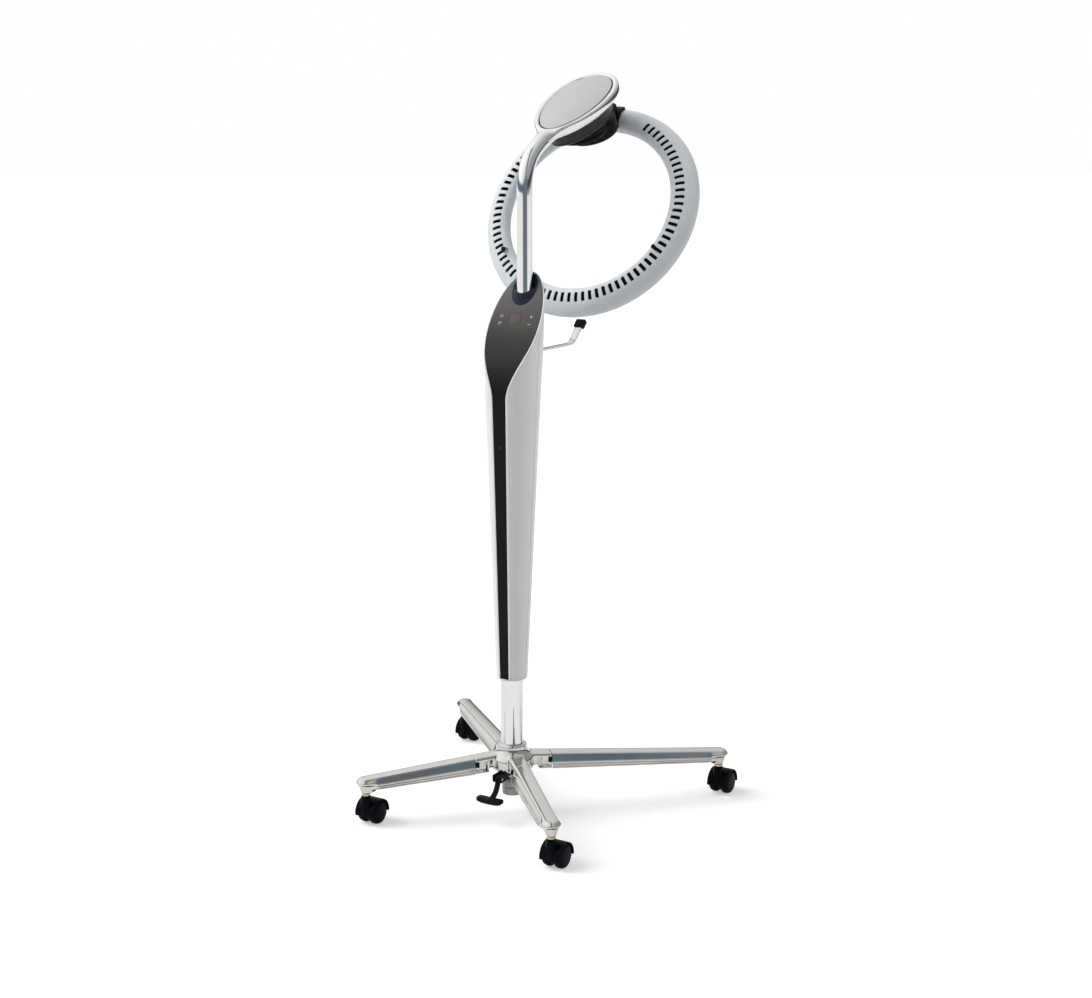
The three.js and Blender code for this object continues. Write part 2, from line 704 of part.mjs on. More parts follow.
// A layer that follows the front face between two depths.
function faceLayer(from, to) {
  const near = faceLine(from).map((p) => [p.x, p.y]);
  const deep = faceLine(to).map((p) => [p.x, p.y]);
  return solid(alongY([...deep, ...near.reverse()], -FAR, FAR));
}

// Where the front face lies at a height.
function faceX(z) {
  const line = faceLine(0);
  const i = line.findIndex((p) => p.y > z);
  const t = (z - line[i - 1].y) / (line[i].y - line[i - 1].y);
  return lerp(line[i - 1].x, line[i].x, t);
}

// Outline of the panel seen from the front: the casing's cut edge, drawn in by the border.
function panelOutline(border) {
  const heights = [];
  const bendFoot = faceLine(0)[1].y;
  for (let i = 0; i <= 4; i++) heights.push(lerp(CASING_BOTTOM - 1, bendFoot, i / 4));
  for (let i = 1; i <= 24; i++) heights.push(lerp(bendFoot, CASING_TOP - border, i / 24));
  const right = [];
  for (const z of heights) {
    const { centre, a, b } = casingAt(z);
    const across = (faceX(z) - centre) / a;
    const half = b * Math.sqrt(Math.max(1 - across * across, 0)) - border;
    if (half > border) right.push([half, z]);
  }
  return [...right, ...right.map(([y, z]) => [-y, z]).reverse()];
}

const RECESS = PANEL_THICK + FIT;
const DECK_INSET = RECESS + DECK_THICK;
const panelHole = () => bezelColumn(BEZEL_DEPTH + FIT, BEZEL_WIDTH + FIT);

// An upright oval column round the mast.
function bezelColumn(a, b) {
  const rings = [CASING_BOTTOM, CASING_TOP + FAR].map((z) => ellipseRing(MAST_X, a, b, z, MEDIUM_STEPS));
  return solid(loft(rings));
}

// What the rear cover takes out of the casing.
function rearRegion(gap) {
  const seam = stations.map(({ z, centre }) => [centre + gap, z]);
  seam[0][1] -= 1;
  seam[seam.length - 1][1] += 1;
  const outline = [
    ...seam,
    [FAR, seam[seam.length - 1][1]],
    [FAR, seam[0][1]],
  ].reverse();
  return solid(alongY(outline, -FAR, FAR)).intersect(behindFace(COVER_RIM + gap));
}

function casingShell() {
  const outside = solid(casingLoft(0)).intersect(behindFace(0));
  const hollow = solid(casingLoft(CASING_WALL)).intersect(behindFace(DECK_INSET));
  const mouth = disc(FOOT_RADIUS - CASING_WALL, CASING_BOTTOM - 1, CASING_BOTTOM + 1);
  const mouthCut = solid(mouth).intersect(behindFace(DECK_INSET));
  return outside.subtract(hollow).subtract(mouthCut);
}

const shell = casingShell();

function casingFront() {
  const recess = solid(alongX(panelOutline(PANEL_BORDER), -FAR, FAR)).intersect(
    faceLayer(-1, RECESS),
  );
  return shell.subtract(rearRegion(-FIT / 2)).subtract(recess).subtract(panelHole());
}

function controlPanel() {
  const plate = solid(alongX(panelOutline(PANEL_BORDER + FIT), -FAR, FAR)).intersect(
    faceLayer(0, PANEL_THICK),
  );
  const whole = plate.intersect(solid(block([-FAR, -FAR, CASING_BOTTOM], [FAR, FAR, CASING_TOP])));
  return whole.subtract(displayBlock(FIT)).subtract(panelHole());
}

// Display window, let into the panel's face.
function displayBlock(gap) {
  const y = DISPLAY_WIDTH / 2 + gap;
  const z0 = DISPLAY_Z - DISPLAY_HEIGHT / 2 - gap;
  const z1 = DISPLAY_Z + DISPLAY_HEIGHT / 2 + gap;
  const front = gap > 0 ? -1 : 0;
  return solid(alongX([[-y, z0], [y, z0], [y, z1], [-y, z1]], -FAR, FAR)).intersect(
    faceLayer(front, DISPLAY_THICK + gap),
  );
}

// Boot round the mast: an oval rim in the panel that rises to a flatter rim on the mast.
function mastBezel() {
  const rim = MAST_RADIUS + FIT + BOOT_WALL;
  const onPlane = (a, b, offset) =>
    ellipseRing(MAST_X, a, b, 0, MEDIUM_STEPS).map((p) => {
      const along = (p.x - MAST_X) * Math.tan(rad(PANEL_SLOPE));
      return p.setZ(PANEL_Z_AT_MAST + along + offset / Math.cos(rad(PANEL_SLOPE)));
    });
  const top = ellipseRing(MAST_X, rim, rim, 0, MEDIUM_STEPS).map((p) =>
    p.setZ(PANEL_Z_AT_MAST + BOOT_RISE + (p.x - MAST_X) * Math.tan(rad(BOOT_TILT))),
  );
  const boot = loft([
    onPlane(BEZEL_DEPTH, BEZEL_WIDTH, -BEZEL_THICK),
    onPlane(BEZEL_DEPTH, BEZEL_WIDTH, BEZEL_PROUD),
    top,
  ]);
  const hole = disc(MAST_RADIUS + FIT, MAST_BOTTOM, CASING_TOP + FAR).translate(MAST_X, 0, 0);
  return solid(boot).subtract(solid(hole));
}

// Circuit board on four posts behind the panel.
function controlBoard() {
  const half = BOARD_WIDTH / 2;
  const low = BOARD_Z - BOARD_HEIGHT / 2;
  const high = BOARD_Z + BOARD_HEIGHT / 2;
  const near = DECK_INSET + BOARD_STANDOFF;
  const cut = (y0, y1, z0, z1, from, to) =>
    solid(alongX([[y0, z0], [y1, z0], [y1, z1], [y0, z1]], -FAR, FAR)).intersect(
      faceLayer(from, to),
    );
  const board = cut(-half, half, low, high, near, near + BOARD_THICK);
  const posts = [];
  for (const y of [-half + 2, half - 2 - STANDOFF_SIZE]) {
    for (const z of [low + 2, high - 2 - STANDOFF_SIZE]) {
      posts.push(cut(y, y + STANDOFF_SIZE, z, z + STANDOFF_SIZE, DECK_INSET + FIT, near + 1));
    }
  }
  return union(board, ...posts);
}

function backX(z) {
  const { centre, a } = casingAt(z);
  return centre + a;
}

function inletBlock(gap) {
  const y = INLET_WIDTH / 2 + gap;
  const z = INLET_HEIGHT / 2 + gap;
  const back = backX(INLET_Z);
  return block([back - INLET_DEEP - gap, -y, INLET_Z - z], [back + INLET_PROUD, y, INLET_Z + z]);
}

// Socket for a mains lead: a block with an open mouth.
function powerInlet() {
  const y = INLET_WIDTH / 2 - INLET_MOUTH;
  const z = INLET_HEIGHT / 2 - INLET_MOUTH;
  const back = backX(INLET_Z);
  const mouth = block(
    [back - INLET_DEEP + INLET_MOUTH, -y, INLET_Z - z],
    [back + INLET_PROUD + 1, y, INLET_Z + z],
  );
  return solid(inletBlock(0)).subtract(solid(mouth));
}

function casingRear() {
  const restSlot = block(
    [MAST_X, -REST_WIDTH / 2 - FIT, REST_Z - REST_THICK - FIT],
    [FAR, REST_WIDTH / 2 + FIT, REST_Z + FIT],
  );
  return shell
    .intersect(rearRegion(FIT / 2))
    .subtract(solid(restSlot))
    .subtract(solid(inletBlock(FIT)));
}

// Inside the column: guide sleeve, spine and mast clamp
const SLEEVE_INNER = POLE_RADIUS + FIT;
const SLEEVE_OUTER = -FACE_BOTTOM_X - DECK_INSET - FIT;

function sleeveGeometry() {
  return turned([
    [SLEEVE_INNER, CASING_BOTTOM],
    [SLEEVE_OUTER, CASING_BOTTOM],
    [SLEEVE_OUTER, SLEEVE_TOP],
    [0, SLEEVE_TOP],
    [0, SLEEVE_TOP - SLEEVE_CAP],
    [SLEEVE_INNER, SLEEVE_TOP - SLEEVE_CAP],
  ]);
}

const SPINE_BACK = MAST_X - MAST_RADIUS - FIT - CLAMP_WALL - FIT;

function spineGeometry() {
  return block(
    [SLEEVE_OUTER + FIT, -SPINE_WIDTH / 2, SPINE_BOTTOM],
    [SPINE_BACK, SPINE_WIDTH / 2, SPINE_TOP],
  );
}

function mastClamp() {
  const body = block(
    [SPINE_BACK + FIT, -CLAMP_WIDTH / 2, CLAMP_BOTTOM],
    [MAST_X, CLAMP_WIDTH / 2, CLAMP_BOTTOM + CLAMP_HEIGHT],
  );
  const bore = disc(MAST_RADIUS + FIT, CLAMP_BOTTOM - 1, CLAMP_BOTTOM + CLAMP_HEIGHT + 1);
  return solid(body).subtract(solid(bore.translate(MAST_X, 0, 0)));
}

function rodGeometry() {
  return disc(ROD_RADIUS, ROD_BOTTOM, SLEEVE_TOP - SLEEVE_CAP - FIT, SMALL_STEPS);
}

function bottomCap() {
  return turned([
    [SLEEVE_INNER, CASING_BOTTOM - BOTTOM_CAP],
    [FOOT_RADIUS - 1, CASING_BOTTOM - BOTTOM_CAP],
    [FOOT_RADIUS - 1, CASING_BOTTOM - FIT],
    [SLEEVE_INNER, CASING_BOTTOM - FIT],
  ]);
}

// Mast: upright from the clamp, then bent along the drive head's arm
const tilt = rad(HEAD_TILT);
const headPlace = new THREE.Matrix4()
  .makeRotationY(-tilt)
  .setPosition(HEAD_X, 0, HEAD_Z);
const armDirection = new THREE.Vector3(1, 0, 0).transformDirection(headPlace);
const mastEnd = new THREE.Vector3(-FRAME_LENGTH - NECK_REACH + NECK_SOCKET, 0, 0).applyMatrix4(
  headPlace,
);

function mastSolid() {
  const foot = new THREE.Vector3(MAST_X, 0, MAST_BOTTOM);
  const bend = new THREE.Vector3(MAST_X, 0, MAST_BEND_START);
  const mouth = mastEnd.clone().addScaledVector(armDirection, -NECK_SOCKET);
  const curve = new THREE.CubicBezierCurve3(
    bend,
    bend.clone().add(new THREE.Vector3(0, 0, MAST_BEND_PULL)),
    mouth.clone().addScaledVector(armDirection, -MAST_BEND_PULL),
    mouth,
  );
  const section = (radius) => {
    const shape = new THREE.Shape();
    shape.absarc(0, 0, radius, 0, 2 * Math.PI);
    return shape;
  };
  const swept = (radius, reach) => {
    const start = bend.clone().add(new THREE.Vector3(0, 0, -1));
    const finish = mastEnd.clone().addScaledVector(armDirection, reach);
    const path = new THREE.CatmullRomCurve3([start, ...curve.getPoints(14).slice(1), finish]);
    return solid(
      new THREE.ExtrudeGeometry(section(radius), {
        steps: 12,
        extrudePath: path,
        curveSegments: MEDIUM_STEPS / 2,
        bevelEnabled: false,
      }),
    );
  };
  const upright = (radius, extra) =>
    solid(disc(radius, MAST_BOTTOM - extra, MAST_BEND_START, MEDIUM_STEPS).translate(foot.x, 0, 0));
  const inner = MAST_RADIUS - MAST_WALL;
  const outside = upright(MAST_RADIUS, 0).add(swept(MAST_RADIUS, 0.01));
  const inside = upright(inner, 1).add(swept(inner, 2));
  return outside.subtract(inside);
}

// Ring rest: a flat bar from the spine, bent up under the parked ring, with a rubber tip
const restBend = new THREE.Vector2(REST_REACH, REST_Z - REST_THICK / 2);
const restUp = new THREE.Vector2(Math.cos(rad(REST_ANGLE)), Math.sin(rad(REST_ANGLE)));
const restEnd = restBend.clone().addScaledVector(restUp, REST_RISE);

function restBar() {
  const start = SPINE_BACK + FIT;
  const half = REST_THICK / 2;
  const side = new THREE.Vector2(-restUp.y, restUp.x).multiplyScalar(half);
  const corner = half * Math.tan(rad(REST_ANGLE) / 2);
  const outline = [
    [start, REST_Z - REST_TAB],
    [start + REST_THICK, REST_Z - REST_TAB],
    [start + REST_THICK, REST_Z - REST_THICK],
    [REST_REACH + corner, REST_Z - REST_THICK],
    [restEnd.x - side.x, restEnd.y - side.y],
    [restEnd.x + side.x, restEnd.y + side.y],
    [REST_REACH - corner, REST_Z],
    [start, REST_Z],
  ];
  return alongY(outline, -REST_WIDTH / 2, REST_WIDTH / 2);
}

function restTip() {
  const frame = new THREE.Matrix4().makeRotationY(-rad(REST_ANGLE)).setPosition(restEnd.x, 0, restEnd.y);
  const y = REST_WIDTH / 2;
  const z = REST_THICK / 2;
  const body = block(
    [-TIP_OVERLAP, -y - TIP_WALL, -z - TIP_WALL],
    [TIP_LENGTH - TIP_OVERLAP, y + TIP_WALL, z + TIP_WALL],
  );
  const slot = block([-TIP_OVERLAP - 1, -y - FIT, -z - FIT], [FIT, y + FIT, z + FIT]);
  return solid(body.applyMatrix4(frame)).subtract(solid(slot.applyMatrix4(frame)));
}

// Drive head: egg-shaped rings in its own frame

function eggRing(a, b, z, steps = EGG_STEPS) {
  return Array.from({ length: steps }, (_, i) => {
    const t = (i / steps) * 2 * Math.PI;
    const x = a * Math.cos(t);
    return new THREE.Vector3(x, b * Math.sin(t) * (1 + (EGG * x) / FRAME_LENGTH), z);
  });
}

function eggLoft(rings) {
  return solid(loft(rings.map(([a, b, z]) => eggRing(a, b, z))));
}

const frameInnerLength = FRAME_LENGTH - FRAME_BAND;
const frameInnerWidth = FRAME_WIDTH - FRAME_BAND;

function headFrame() {
  const half = FRAME_HEIGHT / 2;
  const soft = FRAME_ROUND;
  const outside = eggLoft([
    [FRAME_LENGTH - soft, FRAME_WIDTH - soft, -half],
    [FRAME_LENGTH - soft * 0.3, FRAME_WIDTH - soft * 0.3, -half + soft * 0.3],
    [FRAME_LENGTH, FRAME_WIDTH, -half + soft],
    [FRAME_LENGTH, FRAME_WIDTH, half - soft],
    [FRAME_LENGTH - soft * 0.3, FRAME_WIDTH - soft * 0.3, half - soft * 0.3],
    [FRAME_LENGTH - soft, FRAME_WIDTH - soft, half],
  ]);
  const neckOuter = MAST_RADIUS + FIT + NECK_WALL;
  const mouth = -FRAME_LENGTH - NECK_REACH;
  const neckRing = (x, y, z) =>
    Array.from({ length: MEDIUM_STEPS }, (_, i) => {
      const t = (i / MEDIUM_STEPS) * 2 * Math.PI;
      return new THREE.Vector3(x, y * Math.cos(t), z * Math.sin(t));
    });
  const neck = solid(
    loft([
      neckRing(mouth, neckOuter, neckOuter),
      neckRing(-FRAME_LENGTH, neckOuter + NECK_WIDEN, neckOuter - NECK_FLATTEN),
      neckRing(-FRAME_LENGTH + FRAME_BAND + NECK_INSIDE, neckOuter + NECK_SPREAD, half * 0.9),
    ]),
  );
  const bore = disc(MAST_RADIUS + FIT, mouth - 1, mouth + NECK_SOCKET + FIT);
  const opening = eggLoft([
    [frameInnerLength, frameInnerWidth, -FRAME_HEIGHT * 2],
    [frameInnerLength, frameInnerWidth, FRAME_HEIGHT * 2],
  ]);
  return outside.add(neck).subtract(opening).subtract(solid(bore.rotateY(Math.PI / 2)));
}

const coverLength = frameInnerLength - FIT;
const coverWidth = frameInnerWidth - FIT;
const coverBottom = FRAME_HEIGHT / 2 - COVER_EDGE;

function dome(shrink, bottom, drop) {
  const rise = [0, 0.5, 0.8, 1];
  const spread = [1, 0.86, 0.6, 0.12];
  const rings = rise.map((r, i) => [
    (coverLength - shrink) * spread[i],
    (coverWidth - shrink) * spread[i],
    coverBottom + COVER_EDGE - drop + (COVER_CROWN - COVER_EDGE) * r,
  ]);
  return eggLoft([[coverLength - shrink, coverWidth - shrink, bottom], ...rings]);
}

function headCover() {
  return dome(0, coverBottom, 0).subtract(dome(COVER_WALL, coverBottom - 1, COVER_WALL));
}

function headHousing() {
  const top = coverBottom - FIT;
  const skirt = -FRAME_HEIGHT / 2;
  const bowl = (shrink, floor, lip) =>
    eggLoft([
      [HOUSING_LENGTH - shrink, HOUSING_WIDTH - shrink, floor],
      [coverLength - shrink, coverWidth - shrink, skirt],
      [coverLength - shrink, coverWidth - shrink, lip],
    ]);
  const hole = disc(BEARING_RADIUS + FIT, -HOUSING_DEPTH - 1, -HOUSING_DEPTH + HOUSING_WALL + 1);
  return bowl(0, -HOUSING_DEPTH, top)
    .subtract(bowl(HOUSING_WALL, -HOUSING_DEPTH + HOUSING_WALL, top + 1))
    .subtract(solid(hole));
}

const floorTop = -HOUSING_DEPTH + HOUSING_WALL;
const bearingTop = floorTop + BEARING_FLANGE;

function headBearing() {
  const bore = SHAFT_RADIUS + FIT;
  return turned([
    [bore, -HOUSING_DEPTH],
    [BEARING_RADIUS, -HOUSING_DEPTH],
    [BEARING_RADIUS, floorTop + FIT],
    [BEARING_RADIUS + BEARING_FLANGE, floorTop + FIT],
    [BEARING_RADIUS + BEARING_FLANGE, bearingTop],
    [bore, bearingTop],
  ]);
}

function gearMotor() {
  const bottom = bearingTop + FIT;
  return turned([
    [SHAFT_RADIUS + FIT, bottom],
    [MOTOR_RADIUS, bottom],
    [MOTOR_RADIUS, bottom + MOTOR_HEIGHT],
    [0, bottom + MOTOR_HEIGHT],
    [0, SHAFT_TOP + FIT],
    [SHAFT_RADIUS + FIT, SHAFT_TOP + FIT],
  ]);
}

const rotorTop = -HOUSING_DEPTH - FIT;
const rotorBottom = rotorTop - ROTOR_HEIGHT;

function driveShaft() {
  return disc(SHAFT_RADIUS, rotorBottom, SHAFT_TOP, MEDIUM_STEPS);
}

function rotorDrum() {
  return turned([
    [SHAFT_RADIUS + FIT, rotorBottom],
    [ROTOR_RADIUS - 3, rotorBottom],
    [ROTOR_RADIUS, rotorBottom + 3],
    [ROTOR_RADIUS, rotorTop],
    [SHAFT_RADIUS + FIT, rotorTop],
  ]);
}

// Heater ring: a slanted oval band turned round the ring's axis

const ringPlace = new THREE.Matrix4()
  .makeRotationY(rad(RING_LEAN - 90))
  .setPosition(RING_X, 0, RING_Z);
const slant = rad(BAND_SLANT);

// Point of the band's section: across is towards its outer edge, out is towards its back.
function bandPoint(across, out) {
  const r = RING_RADIUS + across * Math.cos(slant) + out * Math.sin(slant);
  const z = out * Math.cos(slant) - across * Math.sin(slant);
  return [r, z];
}

// Points of an oval round the band's middle, at angles from its outer edge.
function bandOval(inset, angles) {
  return angles.map((degrees) => {
    const a = rad(degrees);
    return bandPoint((BAND_HALF_WIDTH - inset) * Math.cos(a), (BAND_HALF_THICK - inset) * Math.sin(a));
  });
}

// The reflector's back face, from the band's middle, and the angle where it meets the shell.
const reflectorBack = BAND_HALF_THICK - BAND_WALL - REFLECTOR_DROP;
const reflectorSeat = THREE.MathUtils.radToDeg(Math.asin(reflectorBack / (BAND_HALF_THICK - BAND_WALL)));

// Angle on the oval at a distance across the band, on its back.
function bandAngle(across) {
  return THREE.MathUtils.radToDeg(Math.acos(across / BAND_HALF_WIDTH));
}

function backShell() {
  const from = -BACK_WRAP;
  const to = 180 + BACK_WRAP;
  const slotStart = bandAngle(SLOT_OFFSET + SLOT_LENGTH / 2 + 1);
  const slotEnd = bandAngle(SLOT_OFFSET - SLOT_LENGTH / 2 - 1);
  const profile = [
    ...bandOval(0, [from, 14, 40, 68, slotStart, slotEnd, 165, to]),
    ...bandOval(BAND_WALL, [to, 180 - reflectorSeat, slotStart, reflectorSeat, from]),
  ];
  const pitch = 360 / RING_STEPS;
  const first = 180 - ((SLOT_COUNT - 1) / 2) * pitch;
  const cutters = [];
  for (let i = 0; i < SLOT_COUNT; i++) {
    const slot = new THREE.BoxGeometry(SLOT_LENGTH, SLOT_WIDTH, BAND_HALF_THICK);
    slot.rotateY(slant);
    const [r, z] = bandPoint(SLOT_OFFSET, BAND_HALF_THICK * 0.9);
    slot.translate(r, 0, z).rotateZ(rad(first + i * pitch));
    cutters.push(slot);
  }
  const ring = solid(turned(profile, RING_STEPS).rotateZ(rad(pitch / 2)));
  return ring.subtract(solid(mergeGeometries(cutters)));
}

function frontGuard() {
  const from = 180 + BACK_WRAP + 1;
  const to = 360 - BACK_WRAP - 1;
  const lip = bandAngle(WINDOW_WIDTH / 2 + 5);
  const profile = [
    ...bandOval(0, [from, 180 + lip, 360 - lip, to]),
    ...bandOval(BAND_WALL, [to, 360 - lip, 180 + lip, from]),
  ];
  const cutters = [];
  for (let i = 0; i < WINDOW_COUNT; i++) {
    const window = new THREE.BoxGeometry(WINDOW_WIDTH, WINDOW_LENGTH, BAND_HALF_THICK * 1.5);
    window.rotateY(slant);
    const [r, z] = bandPoint(0, -BAND_HALF_THICK);
    window.translate(r, 0, z).rotateZ((i / WINDOW_COUNT) * 2 * Math.PI);
    cutters.push(window);
  }
  const ring = solid(turned(profile, RING_STEPS).rotateZ(Math.PI / RING_STEPS));
  return ring.subtract(solid(mergeGeometries(cutters)));
}

// A flat plate across the hollow of the back shell.
function reflector() {
  const half = (BAND_HALF_WIDTH - BAND_WALL) * Math.cos(rad(reflectorSeat)) - FIT;
  const profile = [
    bandPoint(half, reflectorBack),
    bandPoint(-half, reflectorBack),
    bandPoint(-half, reflectorBack - REFLECTOR_WALL),
    bandPoint(half, reflectorBack - REFLECTOR_WALL),
  ];
  return turned(profile, RING_STEPS).rotateZ(Math.PI / RING_STEPS);
}

function heater() {
  const [r, z] = bandPoint(0, reflectorBack - REFLECTOR_WALL - FIT - HEATER_RADIUS);
  const profile = Array.from({ length: 6 }, (_, i) => {
    const a = Math.PI / 2 - slant + (i / 6) * 2 * Math.PI;
    return [r + HEATER_RADIUS * Math.cos(a), z + HEATER_RADIUS * Math.sin(a)];
  });
  return solid(turned(profile, RING_STEPS).rotateZ(Math.PI / RING_STEPS));
}

function bandEnvelope(gap) {
  const angles = Array.from({ length: BAND_STEPS }, (_, i) => (i / BAND_STEPS) * 360);
  return turned(bandOval(-gap, angles), RING_STEPS).rotateZ(Math.PI / RING_STEPS);
}

// Arm from the rotor to the top of the ring, with a saddle round the band, in the head's frame.
const ringInHead = headPlace.clone().invert().multiply(ringPlace);

function ringArm() {
  const top = rotorBottom - FIT;
  const seat = new THREE.Vector3(RING_RADIUS, 0, 0).applyMatrix4(ringInHead);
  const plate = disc(ROTOR_RADIUS, top - ARM_PLATE, top);
  const beam = block([ARM_START, -ARM_HALF_WIDTH, seat.z], [seat.x, ARM_HALF_WIDTH, top]);
  const pocket = block(
    [ARM_START + ARM_WALL, -ARM_HALF_WIDTH + ARM_WALL, seat.z - 1],
    [seat.x + 1, ARM_HALF_WIDTH - ARM_WALL, top - ARM_PLATE],
  );
  const wedge = block(
    [ARM_START, -SADDLE_HALF_WIDTH, seat.z],
    [seat.x + SADDLE_REACH, SADDLE_HALF_WIDTH, top],
  );
  const saddle = solid(bandEnvelope(FIT + SADDLE_WALL).applyMatrix4(ringInHead)).intersect(solid(wedge));
  return solid(plate)
    .add(solid(beam).subtract(solid(pocket)))
    .add(saddle)
    .subtract(solid(bandEnvelope(FIT).applyMatrix4(ringInHead)));
}

function stud(side) {
  const [r, z] = bandPoint(STUD_OFFSET, 0);
  const surface = BAND_HALF_THICK * Math.sqrt(1 - (STUD_OFFSET / BAND_HALF_WIDTH) ** 2);
  const post = disc(STUD_RADIUS, 0, surface + STUD_HEIGHT, SMALL_STEPS)
    .rotateY(slant)
    .translate(r, 0, z)
    .rotateZ(rad(side * STUD_ANGLE));
  return solid(post).subtract(solid(bandEnvelope(FIT)));
}

// Assembly

const base = new THREE.Group();
base.add(piece("hub_casting", hubSolid(), chrome));
for (const [name, { angle, length }] of Object.entries(legAngles)) {
  const leg = piece(name, legSolid(length), chrome);
  leg.rotation.z = rad(angle);
  base.add(leg);
  const caster = casterGroup(name.replace("leg_", ""));
  caster.position.set(length * Math.cos(rad(angle)), length * Math.sin(rad(angle)), 0);
  base.add(caster);
}
base.add(piece("lower_pole", poleGeometry(), chrome));
base.add(piece("pole_boss", bossGeometry(), chrome));
base.add(piece("gas_spring_cylinder", gasCylinderGeometry(), steel));
base.add(piece("pedal_bracket", pedalBracket(), blackPlastic));
base.add(piece("pedal_pin", pedalPin(), steel));
base.add(piece("foot_pedal", pedalLever(), blackPlastic));

const column = new THREE.Group();
column.add(piece("guide_sleeve", sleeveGeometry(), steel));
column.add(piece("gas_spring_rod", rodGeometry(), steel));
column.add(piece("column_spine", spineGeometry(), steel));
column.add(piece("mast_clamp", mastClamp(), steel));
column.add(piece("casing_front", casingFront(), palePlastic));
column.add(piece("casing_rear_cover", casingRear(), palePlastic));
column.add(piece("casing_bottom_cap", bottomCap(), palePlastic));
column.add(piece("control_panel", controlPanel(), glossBlack));
column.add(piece("display_window", displayBlock(0), displayRed));
column.add(piece("control_board", controlBoard(), boardGreen));
column.add(piece("mast_bezel", mastBezel(), blueBlack));
column.add(piece("power_inlet", powerInlet(), blackPlastic));
column.add(piece("mast_tube", mastSolid(), chrome));
column.add(piece("ring_rest_bar", restBar(), chrome));
column.add(piece("ring_rest_tip", restTip(), rubber));

const head = new THREE.Group();
headPlace.decompose(head.position, head.quaternion, head.scale);
head.add(piece("head_frame", headFrame(), chrome));
head.add(piece("head_cover", headCover(), satin));
head.add(piece("head_housing", headHousing(), darkPlastic));
head.add(piece("head_bearing", headBearing(), steel));
head.add(piece("gear_motor", gearMotor(), steel));

const turning = new THREE.Group();
headPlace.decompose(turning.position, turning.quaternion, turning.scale);
turning.rotateZ(rad(RING_TURN));
turning.add(piece("drive_shaft", driveShaft(), steel));
turning.add(piece("rotor_drum", rotorDrum(), blackPlastic));
turning.add(piece("ring_arm", ringArm(), blackPlastic));

const ring = new THREE.Group();
ringInHead.decompose(ring.position, ring.quaternion, ring.scale);
ring.add(piece("ring_back_shell", backShell(), ringPlastic));
ring.add(piece("ring_front_guard", frontGuard(), ringPlastic));
ring.add(piece("ring_reflector", reflector(), satin));
ring.add(piece("ring_heater", heater(), quartz));
ring.add(piece("ring_sensor_left", stud(1), blackPlastic));
ring.add(piece("ring_sensor_right", stud(-1), blackPlastic));

const machine = new THREE.Group();
turning.add(ring);
machine.add(base, column, head, turning);
machine.updateMatrixWorld(true);

// The part's origin is the bottom centre of its box.
const box = new THREE.Box3().setFromObject(machine, true);
const middle = box.getCenter(new THREE.Vector3());
machine.position.set(-middle.x, -middle.y, -box.min.z);
const group = new THREE.Group();
group.add(machine);

export default group;
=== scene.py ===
# %% [markdown]
# # A hair colour processor on a rolling stand
# The machine warms hair while colour develops: a slotted heater ring turns slowly under a tilted
# drive head. A chrome mast carries the head, a tapered column with a touch panel carries the mast,
# and the column slides on the pole of a four-legged base with twin-wheel casters.
# The solid model is already packed. This lesson dresses it: finer meshes, finishes, light, camera.

# %% Load the solid model
import math

import bmesh
import bpy
from mathutils import Matrix, Vector


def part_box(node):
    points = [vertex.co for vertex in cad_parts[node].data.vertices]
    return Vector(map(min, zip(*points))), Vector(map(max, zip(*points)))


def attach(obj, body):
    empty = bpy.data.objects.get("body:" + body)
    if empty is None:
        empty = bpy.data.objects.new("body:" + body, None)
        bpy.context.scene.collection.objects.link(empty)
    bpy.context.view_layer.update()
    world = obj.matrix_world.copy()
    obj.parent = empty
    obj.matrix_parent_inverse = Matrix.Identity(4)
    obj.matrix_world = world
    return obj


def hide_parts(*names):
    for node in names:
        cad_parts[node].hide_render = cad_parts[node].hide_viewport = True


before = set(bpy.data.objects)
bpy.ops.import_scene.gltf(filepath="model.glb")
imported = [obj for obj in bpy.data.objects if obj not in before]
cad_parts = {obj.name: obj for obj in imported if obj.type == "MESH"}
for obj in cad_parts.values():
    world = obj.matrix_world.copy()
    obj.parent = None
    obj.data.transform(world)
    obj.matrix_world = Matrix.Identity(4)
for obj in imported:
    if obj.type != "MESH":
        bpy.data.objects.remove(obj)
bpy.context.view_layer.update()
pole_low, pole_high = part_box("lower_pole")
POLE_X = (pole_low.x + pole_high.x) / 2
# Pieces are drawn in millimetres from the pole's axis, and this matrix takes them to the frame.
TO_FRAME = Matrix.Translation((POLE_X, 0, 0)) @ Matrix.Scale(0.001, 4)

# %% [markdown]
# ## Drawing tools
# Every piece is a mesh written straight from its sizes. Four shapes cover nearly all of them:
# a body turned round an axis, a skin through rings, a tube along a path and a straight prism.
# Two more tools cut one mesh with another and ease sharp edges, so that the edges catch light.

# %% Meshes from sizes
def rad(degrees):
    return math.radians(degrees)


def lerp(a, b, t):
    return a + (b - a) * t


def drawn(name, points, faces, place=Matrix()):
    """A mesh object at the origin, from points in millimetres."""
    mesh = bpy.data.meshes.new(name)
    mesh.from_pydata([TO_FRAME @ (place @ Vector(p)) for p in points], [], faces)
    work = bmesh.new()
    work.from_mesh(mesh)
    bmesh.ops.remove_doubles(work, verts=work.verts, dist=2e-6)
    bmesh.ops.dissolve_degenerate(work, edges=work.edges, dist=1e-7)
    bmesh.ops.delete(work, geom=[e for e in work.edges if not e.link_faces], context="EDGES")
    bmesh.ops.recalc_face_normals(work, faces=work.faces)
    work.to_mesh(mesh)
    work.free()
    thing = bpy.data.objects.new(name, mesh)
    bpy.context.scene.collection.objects.link(thing)
    return thing


